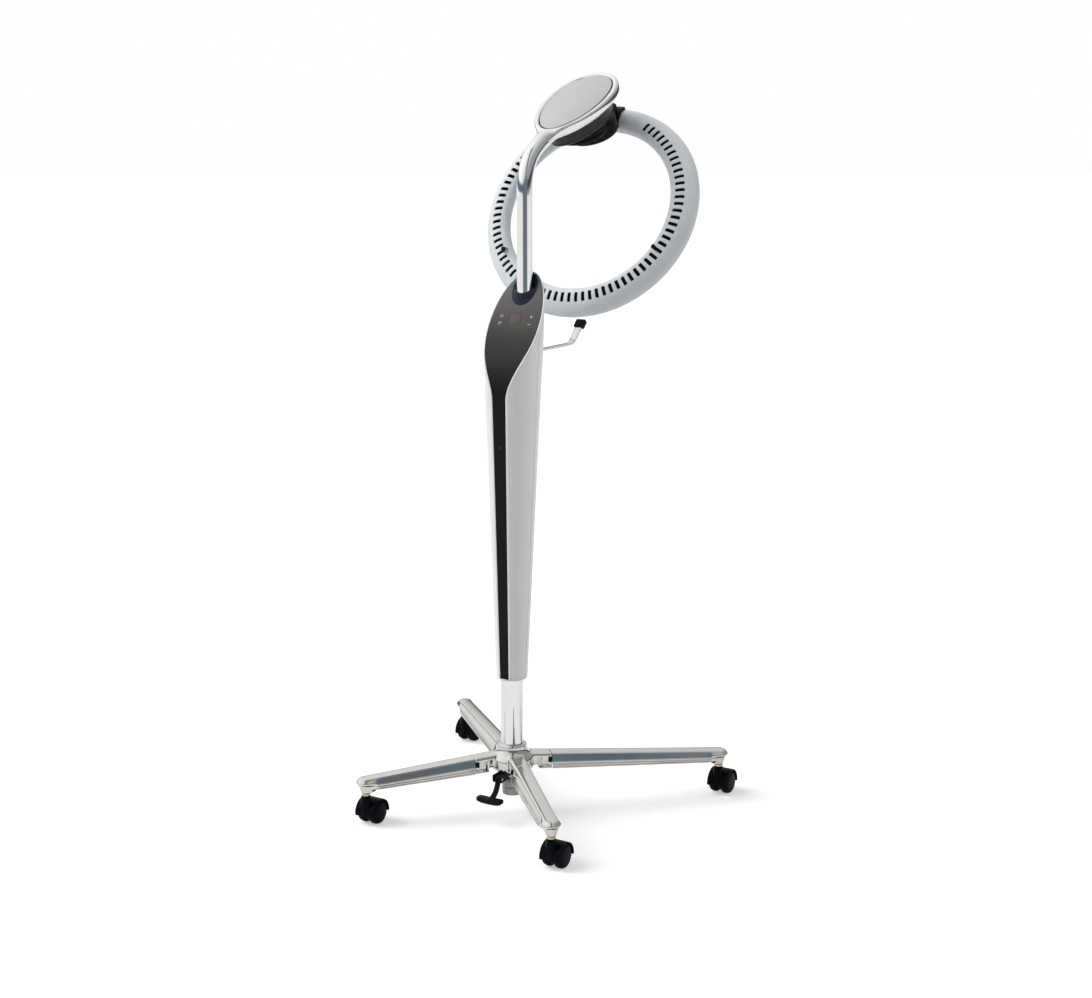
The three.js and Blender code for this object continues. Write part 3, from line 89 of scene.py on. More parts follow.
def eased_corners(corners, steps=4, closed=True):
    """Round the corners of a flat outline. A corner is (a, b) or (a, b, radius)."""
    outline = []
    count = len(corners)
    for i, corner in enumerate(corners):
        here = Vector(corner[:2])
        if len(corner) < 3 or (not closed and i in (0, count - 1)):
            outline.append(tuple(here))
            continue
        before = Vector(corners[i - 1][:2]) - here
        after = Vector(corners[(i + 1) % count][:2]) - here
        reach = min(corner[2], before.length * 0.49, after.length * 0.49)
        start = here + before.normalized() * reach
        end = here + after.normalized() * reach
        for k in range(steps + 1):
            t = k / steps
            outline.append(tuple(start * (1 - t) ** 2 + here * 2 * t * (1 - t) + end * t ** 2))
    return outline


def turned(name, profile, steps=64, place=Matrix()):
    """A body turned round the Z axis from a closed profile of (radius, height)."""
    size = len(profile)
    points = []
    for i in range(steps):
        a = 2 * math.pi * i / steps
        points += [(r * math.cos(a), r * math.sin(a), z) for r, z in profile]
    faces = []
    for i in range(steps):
        j = (i + 1) % steps
        for k in range(size):
            m = (k + 1) % size
            faces.append((i * size + k, j * size + k, j * size + m, i * size + m))
    return drawn(name, points, faces, place)


def skinned(name, rings, place=Matrix(), joined=False):
    """A skin through rings of points, with flat ends, or joined into a loop."""
    size = len(rings[0])
    points = [p for ring in rings for p in ring]
    faces = []
    for i in range(len(rings) if joined else len(rings) - 1):
        n = (i + 1) % len(rings)
        for k in range(size):
            m = (k + 1) % size
            faces.append((i * size + k, i * size + m, n * size + m, n * size + k))
    if not joined:
        last = (len(rings) - 1) * size
        faces.append(tuple(range(size)))
        faces.append(tuple(range(last, last + size)))
    return drawn(name, points, faces, place)


def prism(name, outline, axis, low, high):
    """A flat outline pushed along an axis. It is (y, z) for X, (x, z) for Y and (x, y) for Z."""
    def put(a, b, c):
        return {"X": (c, a, b), "Y": (a, c, b), "Z": (a, b, c)}[axis]
    return skinned(name, [[put(a, b, c) for a, b in outline] for c in (low, high)])


def tube_rings(path, outline_at):
    """Rings of a flat outline carried along a path without twisting."""
    rings = []
    side = None
    for i, p in enumerate(path):
        ahead = (path[min(i + 1, len(path) - 1)] - path[max(i - 1, 0)]).normalized()
        if side is None:
            side = ahead.cross(Vector((0, 1, 0)))
        side = (side - ahead * side.dot(ahead)).normalized()
        across = ahead.cross(side)
        rings.append([tuple(p + side * a + across * b) for a, b in outline_at(i)])
    return rings


def circle(radius, steps=48, wide=1.0):
    return [
        (radius * math.cos(2 * math.pi * i / steps), wide * radius * math.sin(2 * math.pi * i / steps))
        for i in range(steps)
    ]


print("drawing tools ready")

# %% Cutting, easing and fitting
def settle(piece):
    """Turn the piece with its modifiers into a plain mesh."""
    bpy.context.view_layer.update()
    graph = bpy.context.evaluated_depsgraph_get()
    mesh = bpy.data.meshes.new_from_object(piece.evaluated_get(graph), depsgraph=graph)
    piece.modifiers.clear()
    piece.data = mesh
    return piece


def carve(piece, tool, how="DIFFERENCE"):
    step = piece.modifiers.new("carve", "BOOLEAN")
    step.operation = how
    step.solver = "MANIFOLD"
    step.object = tool
    settle(piece)
    bpy.data.objects.remove(tool)
    return piece


def ease(piece, width, segments=2, limit=40):
    """Round the edges that are sharper than the limit, by a width in millimetres.

    Cutting leaves tiny edges, and one of them would hold the whole rounding back, so they go first.
    """
    work = bmesh.new()
    work.from_mesh(piece.data)
    bmesh.ops.remove_doubles(work, verts=work.verts, dist=6e-5)
    bmesh.ops.dissolve_degenerate(work, edges=work.edges, dist=1e-5)
    bmesh.ops.dissolve_limit(work, angle_limit=rad(0.3), verts=work.verts, edges=work.edges)
    work.to_mesh(piece.data)
    work.free()
    step = piece.modifiers.new("ease", "BEVEL")
    step.width = width * 0.001
    step.segments = segments
    step.limit_method = "ANGLE"
    step.angle_limit = rad(limit)
    step.use_clamp_overlap = False
    step.loop_slide = False
    return settle(piece)


def fit(piece, finish, body, slot, *nodes, smooth=38):
    """Give a piece its finish, smooth shading, its body and the solids that it stands for."""
    finishes = finish if isinstance(finish, (list, tuple)) else [finish]
    if len(piece.data.materials) == 0 or len(finishes) > 1:
        piece.data.materials.clear()
        for f in finishes:
            piece.data.materials.append(f)
    else:
        piece.data.materials[0] = finishes[0]
    piece.data.shade_smooth()
    piece.data.set_sharp_from_angle(angle=rad(smooth))
    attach(piece, body)
    if nodes:
        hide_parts(*nodes)
    return piece


print("cutting tools ready")

# %% [markdown]
# ## Finishes
# Each finish is a small node tree on Object coordinates: a slow noise shifts the colour a little,
# another moves the roughness, and a fine one gives grain. Numbers that are the same all over stay on
# the shader's own sockets. Metal shows what stands round it, so its roughness matters most.

# %% A finish from a few numbers
def finish(name, colour, roughness, metal=0.0, drift=0.06, drift_scale=18.0, grain=0.0,
           grain_scale=900.0, wear=0.06, stretch=(1, 1, 1), coat=0.0, shine=0.5):
    made = bpy.data.materials.new(name)
    made.use_nodes = True
    nodes, links = made.node_tree.nodes, made.node_tree.links
    shader = nodes["Principled BSDF"]
    shader.inputs["Metallic"].default_value = metal
    shader.inputs["Coat Weight"].default_value = coat
    shader.inputs["Specular IOR Level"].default_value = shine
    where = nodes.new("ShaderNodeTexCoord")
    turn = nodes.new("ShaderNodeMapping")
    turn.inputs["Scale"].default_value = stretch
    links.new(where.outputs["Object"], turn.inputs["Vector"])
    cloud = nodes.new("ShaderNodeTexNoise")
    cloud.inputs["Scale"].default_value = drift_scale
    cloud.inputs["Detail"].default_value = 4
    links.new(turn.outputs["Vector"], cloud.inputs["Vector"])
    tint = nodes.new("ShaderNodeValToRGB")
    tint.color_ramp.elements[0].position = 0.3
    tint.color_ramp.elements[1].position = 0.7
    tint.color_ramp.elements[0].color = [c * (1 - drift) for c in colour] + [1]
    tint.color_ramp.elements[1].color = [min(c * (1 + drift), 1) for c in colour] + [1]
    links.new(cloud.outputs["Fac"], tint.inputs["Fac"])
    links.new(tint.outputs["Color"], shader.inputs["Base Color"])
    rub = nodes.new("ShaderNodeTexNoise")
    rub.inputs["Scale"].default_value = drift_scale * 3.7
    rub.inputs["Detail"].default_value = 6
    links.new(turn.outputs["Vector"], rub.inputs["Vector"])
    dull = nodes.new("ShaderNodeMapRange")
    dull.inputs["From Min"].default_value = 0.3
    dull.inputs["From Max"].default_value = 0.7
    dull.inputs["To Min"].default_value = max(roughness - wear, 0.02)
    dull.inputs["To Max"].default_value = roughness + wear
    links.new(rub.outputs["Fac"], dull.inputs["Value"])
    links.new(dull.outputs["Result"], shader.inputs["Roughness"])
    if grain:
        fine = nodes.new("ShaderNodeTexNoise")
        fine.inputs["Scale"].default_value = grain_scale
        fine.inputs["Detail"].default_value = 2
        links.new(turn.outputs["Vector"], fine.inputs["Vector"])
        bump = nodes.new("ShaderNodeBump")
        bump.inputs["Strength"].default_value = grain
        bump.inputs["Distance"].default_value = 0.0004
        links.new(fine.outputs["Fac"], bump.inputs["Height"])
        links.new(bump.outputs["Normal"], shader.inputs["Normal"])
    return made


chrome = finish("polished_chrome", (0.87, 0.875, 0.88), 0.07, metal=1.0, drift=0.02, wear=0.02)
# The legs, hub and rest bar share a darker, warmer copy of the chrome. The warm tint is their metal; the darkness is
# painted shade for the dimmer light they stand in.
warm_chrome_painted_shade = finish("warm_chrome_painted_darker", (0.68, 0.67, 0.635), 0.11, metal=1.0, drift=0.03, wear=0.015)
raw_casting = finish("raw_casting", (0.27, 0.285, 0.29), 0.28, metal=1.0, drift=0.05)
plain_steel = finish("plain_steel", (0.42, 0.43, 0.45), 0.34, metal=1.0, stretch=(1, 1, 0.05))
gilt = finish("gilt_collar", (0.62, 0.52, 0.32), 0.26, metal=1.0, drift=0.08)
silver_paint = finish("silver_paint", (0.79, 0.79, 0.795), 0.34, drift=0.02, drift_scale=6, grain=0.02,
                      grain_scale=2600, shine=0.4)
satin_cover = finish("satin_cover", (0.60, 0.60, 0.605), 0.36, metal=0.85, drift=0.01, grain=0.012,
                     grain_scale=1500, wear=0.02, shine=0.3)
ring_shell = finish("ring_plastic", (0.67, 0.705, 0.725), 0.36, drift=0.02, drift_scale=8, shine=0.35)
# Near-black painted shade for the inside of the ring's back shell and the back of the reflector, so the slots read
# dark.
painted_shade_black = finish("painted_shade_black", (0.006, 0.0065, 0.0075), 0.6, drift=0.2, shine=0.1)
moulded_black = finish("moulded_black", (0.0035, 0.0035, 0.004), 0.42, drift=0.2, grain=0.1,
                       grain_scale=1700, shine=0.12)
caster_black = finish("caster_black", (0.0018, 0.0028, 0.0050), 0.32, drift=0.25, grain=0.1,
                      grain_scale=1300, shine=0.05)
tread_black = finish("tread_black", (0.0018, 0.0028, 0.0050), 0.36, drift=0.25, shine=0.05)
housing_grey = finish("housing_grey", (0.020, 0.0205, 0.018), 0.30, drift=0.04, wear=0.02, shine=0.25)
bezel_blue = finish("bezel_blue", (0.013, 0.020, 0.036), 0.46, drift=0.15, shine=0.25)
bright_plate = finish("bright_plate", (0.70, 0.69, 0.67), 0.25, metal=1.0, drift=0.05)
frosted_quartz = finish("frosted_quartz", (0.55, 0.50, 0.46), 0.4, drift=0.1, drift_scale=60)
# Black rubber for the rest tip. The blocks of painted shade at the leg roots use the same black.
rubber_and_painted_shade_black = finish("rubber_and_painted_shade_black", (0.007, 0.007, 0.008), 0.7, drift=0.2, grain=0.2, shine=0.15)
pale_mark = finish("pale_mark", (0.62, 0.57, 0.45), 0.5, drift=0.08, drift_scale=300)
dim_mark = finish("dim_mark", (0.05, 0.05, 0.052), 0.4, drift=0.05)
board_green = finish("board_green", (0.03, 0.11, 0.05), 0.5, drift=0.15, drift_scale=120)
inlet_black = finish("inlet_black", (0.010, 0.010, 0.011), 0.5, drift=0.2, grain=0.1, shine=0.25)
print("finishes", len(bpy.data.materials))

# %% [markdown]
# The touch panel is one dark sheet, black along the strip. Its greyer tone towards the slanted top is
# painted sheen, the light that the upward-facing part catches: a height ramp on Object coordinates
# sets it, and fine noise gives it a little mottle.

# %% Panel and display finishes
def painted_sheen_panel_finish():
    made = finish("dark_panel_painted_sheen", (0.030, 0.030, 0.031), 0.38, drift=0.1, shine=0.14)
    nodes, links = made.node_tree.nodes, made.node_tree.links
    shader = nodes["Principled BSDF"]
    where = next(n for n in nodes if n.type == "TEX_COORD")
    apart = nodes.new("ShaderNodeSeparateXYZ")
    links.new(where.outputs["Object"], apart.inputs["Vector"])
    rise = nodes.new("ShaderNodeMapRange")
    rise.inputs["From Min"].default_value = 0.92
    rise.inputs["From Max"].default_value = 1.12
    links.new(apart.outputs["Z"], rise.inputs["Value"])
    # The ramp runs from near-black at the strip to grey at the top. The grey is painted sheen, not the sheet's own
    # colour.
    shade = nodes.new("ShaderNodeValToRGB")
    shade.color_ramp.elements[0].color = (0.0045, 0.0043, 0.0043, 1)
    shade.color_ramp.elements[1].color = (0.15, 0.145, 0.138, 1)
    middle = shade.color_ramp.elements.new(0.5)
    middle.color = (0.040, 0.039, 0.037, 1)
    links.new(rise.outputs["Result"], shade.inputs["Fac"])
    mottle = nodes.new("ShaderNodeMix")
    mottle.data_type = "RGBA"
    mottle.blend_type = "MULTIPLY"
    mottle.inputs["Factor"].default_value = 0.5
    cloud = next(n for n in nodes if n.type == "TEX_NOISE")
    links.new(shade.outputs["Color"], mottle.inputs[6])
    links.new(cloud.outputs["Color"], mottle.inputs[7])
    bright = nodes.new("ShaderNodeMix")
    bright.data_type = "RGBA"
    bright.inputs["Factor"].default_value = 0.25
    links.new(shade.outputs["Color"], bright.inputs[6])
    links.new(mottle.outputs[2], bright.inputs[7])
    links.new(bright.outputs[2], shader.inputs["Base Color"])
    return made


dark_panel_painted_sheen = painted_sheen_panel_finish()
display_glass = finish("display_glass", (0.098, 0.080, 0.071), 0.3, drift=0.1, drift_scale=90, shine=0.2)
display_mark = finish("display_mark", (0.15, 0.108, 0.092), 0.3, drift=0.1, drift_scale=200, shine=0.2)
print("panel finishes ready")

# %% [markdown]
# ## Hub casting
# The hub is one chrome casting: a round body, a collar round the pole and four stubs that the legs
# slide over. Hard joins between these shapes would look machined, but a casting flows. So the plain
# shapes are joined, wrapped in a fine even skin (a voxel remesh) and smoothed, and the bore for the
# pole is cut afterwards, so that it stays crisp.

# %% Leg section
FIT = 0.3
POLE_RADIUS = 24
LEGS = {
    "front_left": (46, 465), "front_right": (-46, 465),
    "rear_left": (134, 316), "rear_right": (226, 316),
}
LEG_ROOT = 84
LEG_WALL = 3


def leg_sizes(r, length):
    """Top height, depth and half width of a leg at a distance from the pole."""
    t = (r - LEG_ROOT) / (length - LEG_ROOT)
    return lerp(135, 107, t), lerp(28, 24, t), lerp(38, 34, t) / 2


def leg_skirt(r, length):
    """How far the leg's lower edge flares out and hangs below its stub."""
    t = (r - LEG_ROOT) / (length - LEG_ROOT)
    return lerp(4.0, 3.2, t), lerp(6.5, 1.0, t)


def about_pole(angle):
    return Matrix.Rotation(rad(angle), 4, "Z")


print("legs reach", sorted({length for _, length in LEGS.values()}), "mm")

# %% Hub
def stub_ring(r, length, inset):
    top, depth, half = leg_sizes(r, length)
    top, bottom, half = top - inset, top - depth + inset, half - inset
    corners = [(-half, bottom, 3), (half, bottom, 3), (half, top, 7), (-half, top, 7)]
    return [(r, y, z) for y, z in eased_corners(corners, 5)]


def skirt_ring(r, length):
    top, depth, half = leg_sizes(r, length)
    flare, drop = leg_skirt(r, length)
    low, wide = top - depth - drop, half + flare - 0.6
    corners = [(-wide, low, 1.5), (wide, low, 1.5), (wide, low + 6, 2), (-wide, low + 6, 2)]
    return [(r, y, z) for y, z in eased_corners(corners, 4)]


def arm_box(x0, x1, y0, y1, z0, z1):
    """Two rings of an upright box, for skinned."""
    return [[(x, y, z) for y, z in ((y0, z0), (y1, z0), (y1, z1), (y0, z1))] for x in (x0, x1)]


ROOT_END = LEG_ROOT - 0.5
collar = POLE_RADIUS + FIT + 7
hub_profile = eased_corners([
    (0, 104), (46, 104, 4), (46, 129, 7), (collar + 6, 139, 9), (collar, 149, 8), (collar, 160, 3),
    (0, 160),
], 6)
hub = turned("hub", hub_profile, 96)
for angle, length in LEGS.values():
    stub = skinned("stub", [stub_ring(r, length, LEG_WALL + FIT) for r in (POLE_RADIUS + 2, LEG_ROOT + 36.7)],
                   about_pole(angle))
    root = skinned("root", [stub_ring(r, length, 0.6) for r in (24, 56, ROOT_END)], about_pole(angle))
    carve(hub, stub, "UNION")
    carve(hub, root, "UNION")
    carve(hub, skinned("skirt", [skirt_ring(r, length) for r in (54, ROOT_END)], about_pole(angle)), "UNION")
wrap = hub.modifiers.new("even skin", "REMESH")
wrap.mode = "VOXEL"
wrap.voxel_size = 0.0014
flow = hub.modifiers.new("flow", "SMOOTH")
flow.factor = 0.5
flow.iterations = 30
settle(hub)
for angle, length in LEGS.values():
    top, depth, half = leg_sizes(LEG_ROOT, length)
    for side in (1, -1):
        notch = turned("notch", [(0, top - depth - 2), (5, top - depth - 2), (5, top - 8), (0, top - 8)], 32,
                       about_pole(angle) @ Matrix.Translation((57, side * (half + 2.2), 0)))
        carve(hub, notch)
        # Each window holds a near-black block of painted shade, set further below.
        window = arm_box(LEG_ROOT - 9, LEG_ROOT + 4, side * (half - 4.5), side * (half + 2), top - 21, top - 8)
        carve(hub, skinned("window", window, about_pole(angle)))
carve(hub, turned("bore", [(0, 110), (POLE_RADIUS + FIT, 110), (POLE_RADIUS + FIT, 170), (0, 170)], 96))
carve(hub, turned("spring_hole", [(0, 90), (14.3, 90), (14.3, 112), (0, 112)], 48))
# The hub's darker chrome is partly painted shade.
fit(hub, warm_chrome_painted_shade, "base", "chrome", "hub_casting", smooth=50)
print("hub faces", len(hub.data.polygons))

# %% Painted shade: dark blocks in the windows at the leg roots
# Each block is painted shade: a near-black box in a hub window, where the gap at a leg's root lies in shade.
shade_block_points, shade_block_faces = [], []
for angle, length in LEGS.values():
    top, depth, half = leg_sizes(LEG_ROOT, length)
    for side in (1, -1):
        first = len(shade_block_points)
        for ring in arm_box(LEG_ROOT - 8.6, LEG_ROOT - 0.4, side * (half - 4.4), side * (half - 1.6), top - 20.6, top - 8.4):
            shade_block_points += [about_pole(angle) @ Vector(p) for p in ring]
        shade_block_faces += [tuple(first + k for k in face) for face in (
            (0, 1, 2, 3), (4, 5, 6, 7), (0, 1, 5, 4), (1, 2, 6, 5), (2, 3, 7, 6), (3, 0, 4, 7))]
root_shade_blocks = drawn("leg_root_shade_blocks", shade_block_points, shade_block_faces)
ease(root_shade_blocks, 0.6, 2, 40)
fit(root_shade_blocks, rubber_and_painted_shade_black, "base", "rubber", smooth=34)
print("root_shade_blocks", len(shade_block_faces) // 6)

# %% [markdown]
# ## Legs
# Each leg is a polished channel, open below, with a rounded end over its caster. Its side leans out
# under a rounded top, then runs over two fine beads to a flared lower edge. Half of this section is
# carried down one side, round the end and back up the other side, so that the end is as smooth as
# the sides. Near the end the lower half draws in to a cone that meets the caster's collar.

# %% A leg
def leg_half_section(r, length):
    """Half of the section: from the middle of the top, round the edge, down the side to the middle."""
    top, depth, half = leg_sizes(r, length)
    flare, drop = leg_skirt(r, length)
    deep = depth + drop
    steps = ((half - 9.0, 0.010, 8), (half - 3.0, 0.055, 5), (half + 0.6, 0.50, 2),
             (half + 1.0, 0.56, 0.6), (half + 2.0, 0.59, 0.8),
             (half + 2.1, 0.65, 0.8), (half + 1.3, 0.68, 0.5), (half + 1.5, 0.72, 0.5), (half + 2.8, 0.76, 0.8),
             (half + 2.9, 0.82, 0.8), (half + 2.0, 0.85, 0.5), (half + flare, 0.91, 1), (half + flare, 1.0, 1.2))
    side = [(0, top)] + [(s, top - deep * share, ease_by) for s, share, ease_by in steps] + [(0, top - deep)]
    cone = [(0, top), (half - 9.0, top - 0.3, 8), (half - 3.0, top - 1.4, 5), (half + flare, 98, 2.0),
            (half + flare - 0.3, 95, 1.5), (half - 1.6, 91, 1.5), (10, 74, 1), (0, 74)]
    return eased_corners(side, 5, closed=False), eased_corners(cone, 6, closed=False)


def resampled(line, count):
    """The same line with evenly spread points."""
    spans = [0]
    for a, b in zip(line, line[1:]):
        spans.append(spans[-1] + math.dist(a, b))
    out = []
    for i in range(count):
        want = spans[-1] * i / (count - 1)
        k = next(j for j in range(1, len(spans)) if spans[j] >= want - 1e-9)
        t = (want - spans[k - 1]) / max(spans[k] - spans[k - 1], 1e-9)
        out.append((lerp(line[k - 1][0], line[k][0], t), lerp(line[k - 1][1], line[k][1], t)))
    return out


def leg_mesh(name, length, place):
    count = 96
    stations = [lerp(LEG_ROOT, length - 34, i / 6) for i in range(7)] + [length - 34 + 34 * i / 12 for i in range(1, 13)]
    halves = []
    for r in stations:
        side, cone = leg_half_section(r, length)
        t = min(max((r - (length - 34)) / 30, 0), 1)
        t = t * t * (3 - 2 * t)
        a, b = resampled(side, count), resampled(cone, count)
        halves.append([(lerp(p[0], q[0], t), lerp(p[1], q[1], t)) for p, q in zip(a, b)])
    rings = [[(r, -s, z) for s, z in half] for r, half in zip(stations, halves)]
    for k in range(1, 24):
        turn = rad(-90 + 180 * k / 24)
        rings.append([(length + s * math.cos(turn), s * math.sin(turn), z) for s, z in halves[-1]])
    rings += [[(r, s, z) for s, z in half] for r, half in zip(reversed(stations), reversed(halves))]
    points = [p for ring in rings for p in ring]
    faces = []
    for i in range(len(rings) - 1):
        for k in range(count - 1):
            faces.append((i * count + k, i * count + k + 1, (i + 1) * count + k + 1, (i + 1) * count + k))
    last = (len(rings) - 1) * count
    for k in range(count - 1):
        faces.append((k, last + k, last + k + 1, k + 1))
    leg = drawn(name, points, faces, place)
    hollow = []
    for r in (LEG_ROOT - 1, length - 30):
        top, depth, half = leg_sizes(r, length)
        inner, wide = half - LEG_WALL, half + 0.6
        low, waist = top - depth - 1, top - depth * 0.55
        corners = [(-wide, 40), (wide, 40), (wide, low), (inner, waist, 3), (inner, top - LEG_WALL, 7),
                   (-inner, top - LEG_WALL, 7), (-inner, waist, 3), (-wide, low)]
        hollow.append([(r, y, z) for y, z in eased_corners(corners, 5)])
    carve(leg, skinned("channel", hollow, place))
    socket = turned("socket", [(0, 60), (5.3, 60), (5.3, 99.3), (0, 99.3)], 32,
                    place @ Matrix.Translation((length, 0, 0)))
    return carve(leg, socket)


# The legs' darker chrome is partly painted shade.
for spot, (angle, length) in LEGS.items():
    leg = leg_mesh("leg_" + spot + "_shell", length, about_pole(angle))
    fit(leg, warm_chrome_painted_shade, "base", "chrome", "leg_" + spot)
print("leg faces", len(leg.data.polygons))

# %% [markdown]
# ## Pole and boss
# A straight chromed tube stands in the hub, and a boss below closes the gas spring's foot.
# Both are turned. The tube's ends get a small round, as on a deburred tube.

# %% Pole and boss
pole = turned("pole", eased_corners([(21.5, 110.3), (24, 110.3, 0.6), (24, 655, 0.8), (21.5, 655, 0.8)], 3), 128)
fit(pole, chrome, "base", "chrome", "lower_pole")
boss = turned("boss", eased_corners([
    (0, 46), (22, 46, 2.5), (22, 62, 0.6), (21.2, 62.8, 0.6), (21.2, 65.2, 0.6), (22, 66, 0.6),
    (22, 103.7), (14.3, 103.7), (14.3, 51), (0, 51),
], 4), 96)
fit(boss, raw_casting, "base", "chrome", "pole_boss")
print("pole and boss made")

# %% [markdown]
# ## Casters
# A twin-wheel caster has a stem with a gilt collar, a black hood over two wheels and an axle. The
# hood is a bent strip joined to a middle web and a round boss, with its edges eased. The wheels are
# turned: a soft tread that rounds into a closed, slightly domed face with one fine groove.

# %% Caster hood and stem
TRAIL = 21
WHEEL_RADIUS = 25
WEB_HALF = 6
WHEEL_WIDTH = 17
HOOD_HALF = WEB_HALF + FIT + WHEEL_WIDTH
AXLE_PLACE = Matrix.Translation((TRAIL, 0, WHEEL_RADIUS)) @ Matrix.Rotation(rad(90), 4, "X")


def hood_mesh(name, place):
    steps = 40
    arc = [rad(lerp(-8, 188, i / steps)) for i in range(steps + 1)]
    strip = [(TRAIL + 30 * math.cos(a), WHEEL_RADIUS + 30 * math.sin(a)) for a in arc]
    strip += [(TRAIL + 27 * math.cos(a), WHEEL_RADIUS + 27 * math.sin(a)) for a in reversed(arc)]
    hood = ease(prism(name, strip, "Y", -HOOD_HALF, HOOD_HALF), 0.9, 3, 50)
    carve(hood, prism("web", eased_corners([(-10.5, 27, 3), (TRAIL, 27), (TRAIL, 52, 4), (-10.5, 52, 6)], 5),
                      "Y", -WEB_HALF, WEB_HALF), "UNION")
    disc = turned("web_disc", eased_corners([(0, -WEB_HALF), (20, -WEB_HALF, 0.6), (20, WEB_HALF, 0.6), (0, WEB_HALF)], 2),
                  48, AXLE_PLACE)
    carve(hood, disc, "UNION")
    neck = turned("neck", eased_corners([(0, 26), (11, 26, 1), (11, 58, 3), (9.6, 66.4, 1.2), (0, 66.4)], 4), 48)
    carve(hood, neck, "UNION")
    for low in (WEB_HALF, -WEB_HALF - WHEEL_WIDTH - 1):
        room = turned("wheel_room", [(0, low), (27, low), (27, low + WHEEL_WIDTH + 1), (0, low + WHEEL_WIDTH + 1)], 96,
                      AXLE_PLACE)
        carve(hood, room)
    carve(hood, turned("axle_hole", [(0, -40), (4.3, -40), (4.3, 40), (0, 40)], 32, AXLE_PLACE))
    carve(hood, turned("stem_hole", [(0, 43.5), (5.3, 43.5), (5.3, 90), (0, 90)], 32))
    hood.data.transform(TO_FRAME @ place @ TO_FRAME.inverted())
    return hood


def stem_mesh(name, place):
    profile = eased_corners([
        (0, 43.9), (5, 43.9, 0.6), (5, 66.7, 0.3), (8.2, 66.7, 0.5), (9, 68.2, 0.6), (9, 71.6, 0.8),
        (7.6, 73.7, 0.6), (5, 73.7, 0.3), (5, 99, 0.8), (0, 99),
    ], 3)
    return turned(name, profile, 48, place)


for spot, (angle, length) in LEGS.items():
    at = Matrix.Translation((length * math.cos(rad(angle)), length * math.sin(rad(angle)), 0))
    body = "caster_" + spot
    fit(hood_mesh("hood_" + spot, at), caster_black, body, "black_plastic", "caster_hood_" + spot, smooth=32)
    fit(stem_mesh("stem_" + spot, at), gilt, "base", "brass", "caster_stem_" + spot)
print("casters made")

# %% Wheels
wheel_profile = eased_corners([
    (4.3, 0), (22, 0, 1), (23.5, 0.4, 0.8), (25, 3.5, 1.5), (25, 10.5, 5), (22.8, 15.2, 3), (19.8, 16.6, 0.6),
    (19.2, 16.1, 0.4), (18.6, 16.7, 0.4), (9, 17.5, 3), (0, 17.8), (0, 17.1), (4.3, 17.1),
], 3)
for spot, (angle, length) in LEGS.items():
    at = Matrix.Translation((length * math.cos(rad(angle)), length * math.sin(rad(angle)), 0))
    for side, sign in (("left", 1), ("right", -1)):
        place = at @ Matrix.Translation((TRAIL, sign * (WEB_HALF + FIT), WHEEL_RADIUS)) @ Matrix.Rotation(rad(-90 * sign), 4, "X")
        wheel = turned("wheel_" + spot + "_" + side, wheel_profile, 72, place)
        fit(wheel, tread_black, "wheel_" + spot + "_" + side, "black_plastic",
            "caster_wheel_" + spot + "_" + side, smooth=30)
print("wheel faces", len(wheel.data.polygons))

# %% [markdown]
# ## Foot pedal
# The pedal lets the gas spring go. It is a moulded lever: an eye on the pin, a bent arm and a wide
# pad whose ends curl up a little. The grip ribs on the pad repeat, so a small node tree makes them:
# points along a line, one rib on each point, realized as a mesh.

# %% Pedal lever
PIVOT = (-56, 95)
PAD = (-90, 58)
pin_place = Matrix.Translation((PIVOT[0], 0, PIVOT[1])) @ Matrix.Rotation(rad(90), 4, "X")


def pedal_mesh():
    eye = turned("pedal", eased_corners([(0, -5), (7, -5, 1), (7, 5, 1), (0, 5)], 3), 48, pin_place)
    bend = (PIVOT[0] - 8, PAD[1])
    path = []
    for i in range(25):
        t = i / 24
        path.append(Vector(((1 - t) ** 2 * PIVOT[0] + 2 * t * (1 - t) * bend[0] + t * t * PAD[0], 0,
                            (1 - t) ** 2 * PIVOT[1] + 2 * t * (1 - t) * bend[1] + t * t * PAD[1])))
    bar = eased_corners([(-4.5, -5, 2), (4.5, -5, 2), (4.5, 5, 2), (-4.5, 5, 2)], 4)
    carve(eye, skinned("arm", tube_rings(path, lambda i: bar)), "UNION")
    rings = []
    for i in range(33):
        u = -1 + 2 * i / 32
        y = 31 * u
        tip = math.sqrt(max(1 - abs(u) ** 5, 0.0))
        half = 10 * (0.55 + 0.45 * tip) if abs(u) < 1 else 4.5
        thick = 11 * (0.5 + 0.5 * tip) if abs(u) < 1 else 4
        lift = 1.6 * u * u
        top = PAD[1] + 5.5 - (11 - thick) * 0.3
        corners = [(PAD[0] - half, top - thick, 3), (PAD[0] + half, top - thick, 3),
                   (PAD[0] + half, top, 3), (PAD[0] - half, top, 3)]
        rings.append([(x, y, z + lift - 1.6) for x, z in eased_corners(corners, 4)])
    carve(eye, skinned("pad", rings), "UNION")
    carve(eye, turned("pin_hole", [(0, -9), (3.3, -9), (3.3, 9), (0, 9)], 32, pin_place))
    return eye


pedal = pedal_mesh()
fit(pedal, moulded_black, "pedal", "black_plastic", "foot_pedal", smooth=45)
print("pedal faces", len(pedal.data.polygons))

# %% Ribs on the pedal
def add(tree, kind, inputs=None, **settings):
    """One node of a tree, with its inputs set from values or linked from sockets."""
    node = tree.nodes.new(kind)
    for key, value in settings.items():
        setattr(node, key, value)
    for key, value in (inputs or {}).items():
        if isinstance(value, bpy.types.NodeSocket):
            tree.links.new(value, node.inputs[key])
        else:
            node.inputs[key].default_value = value
    return node


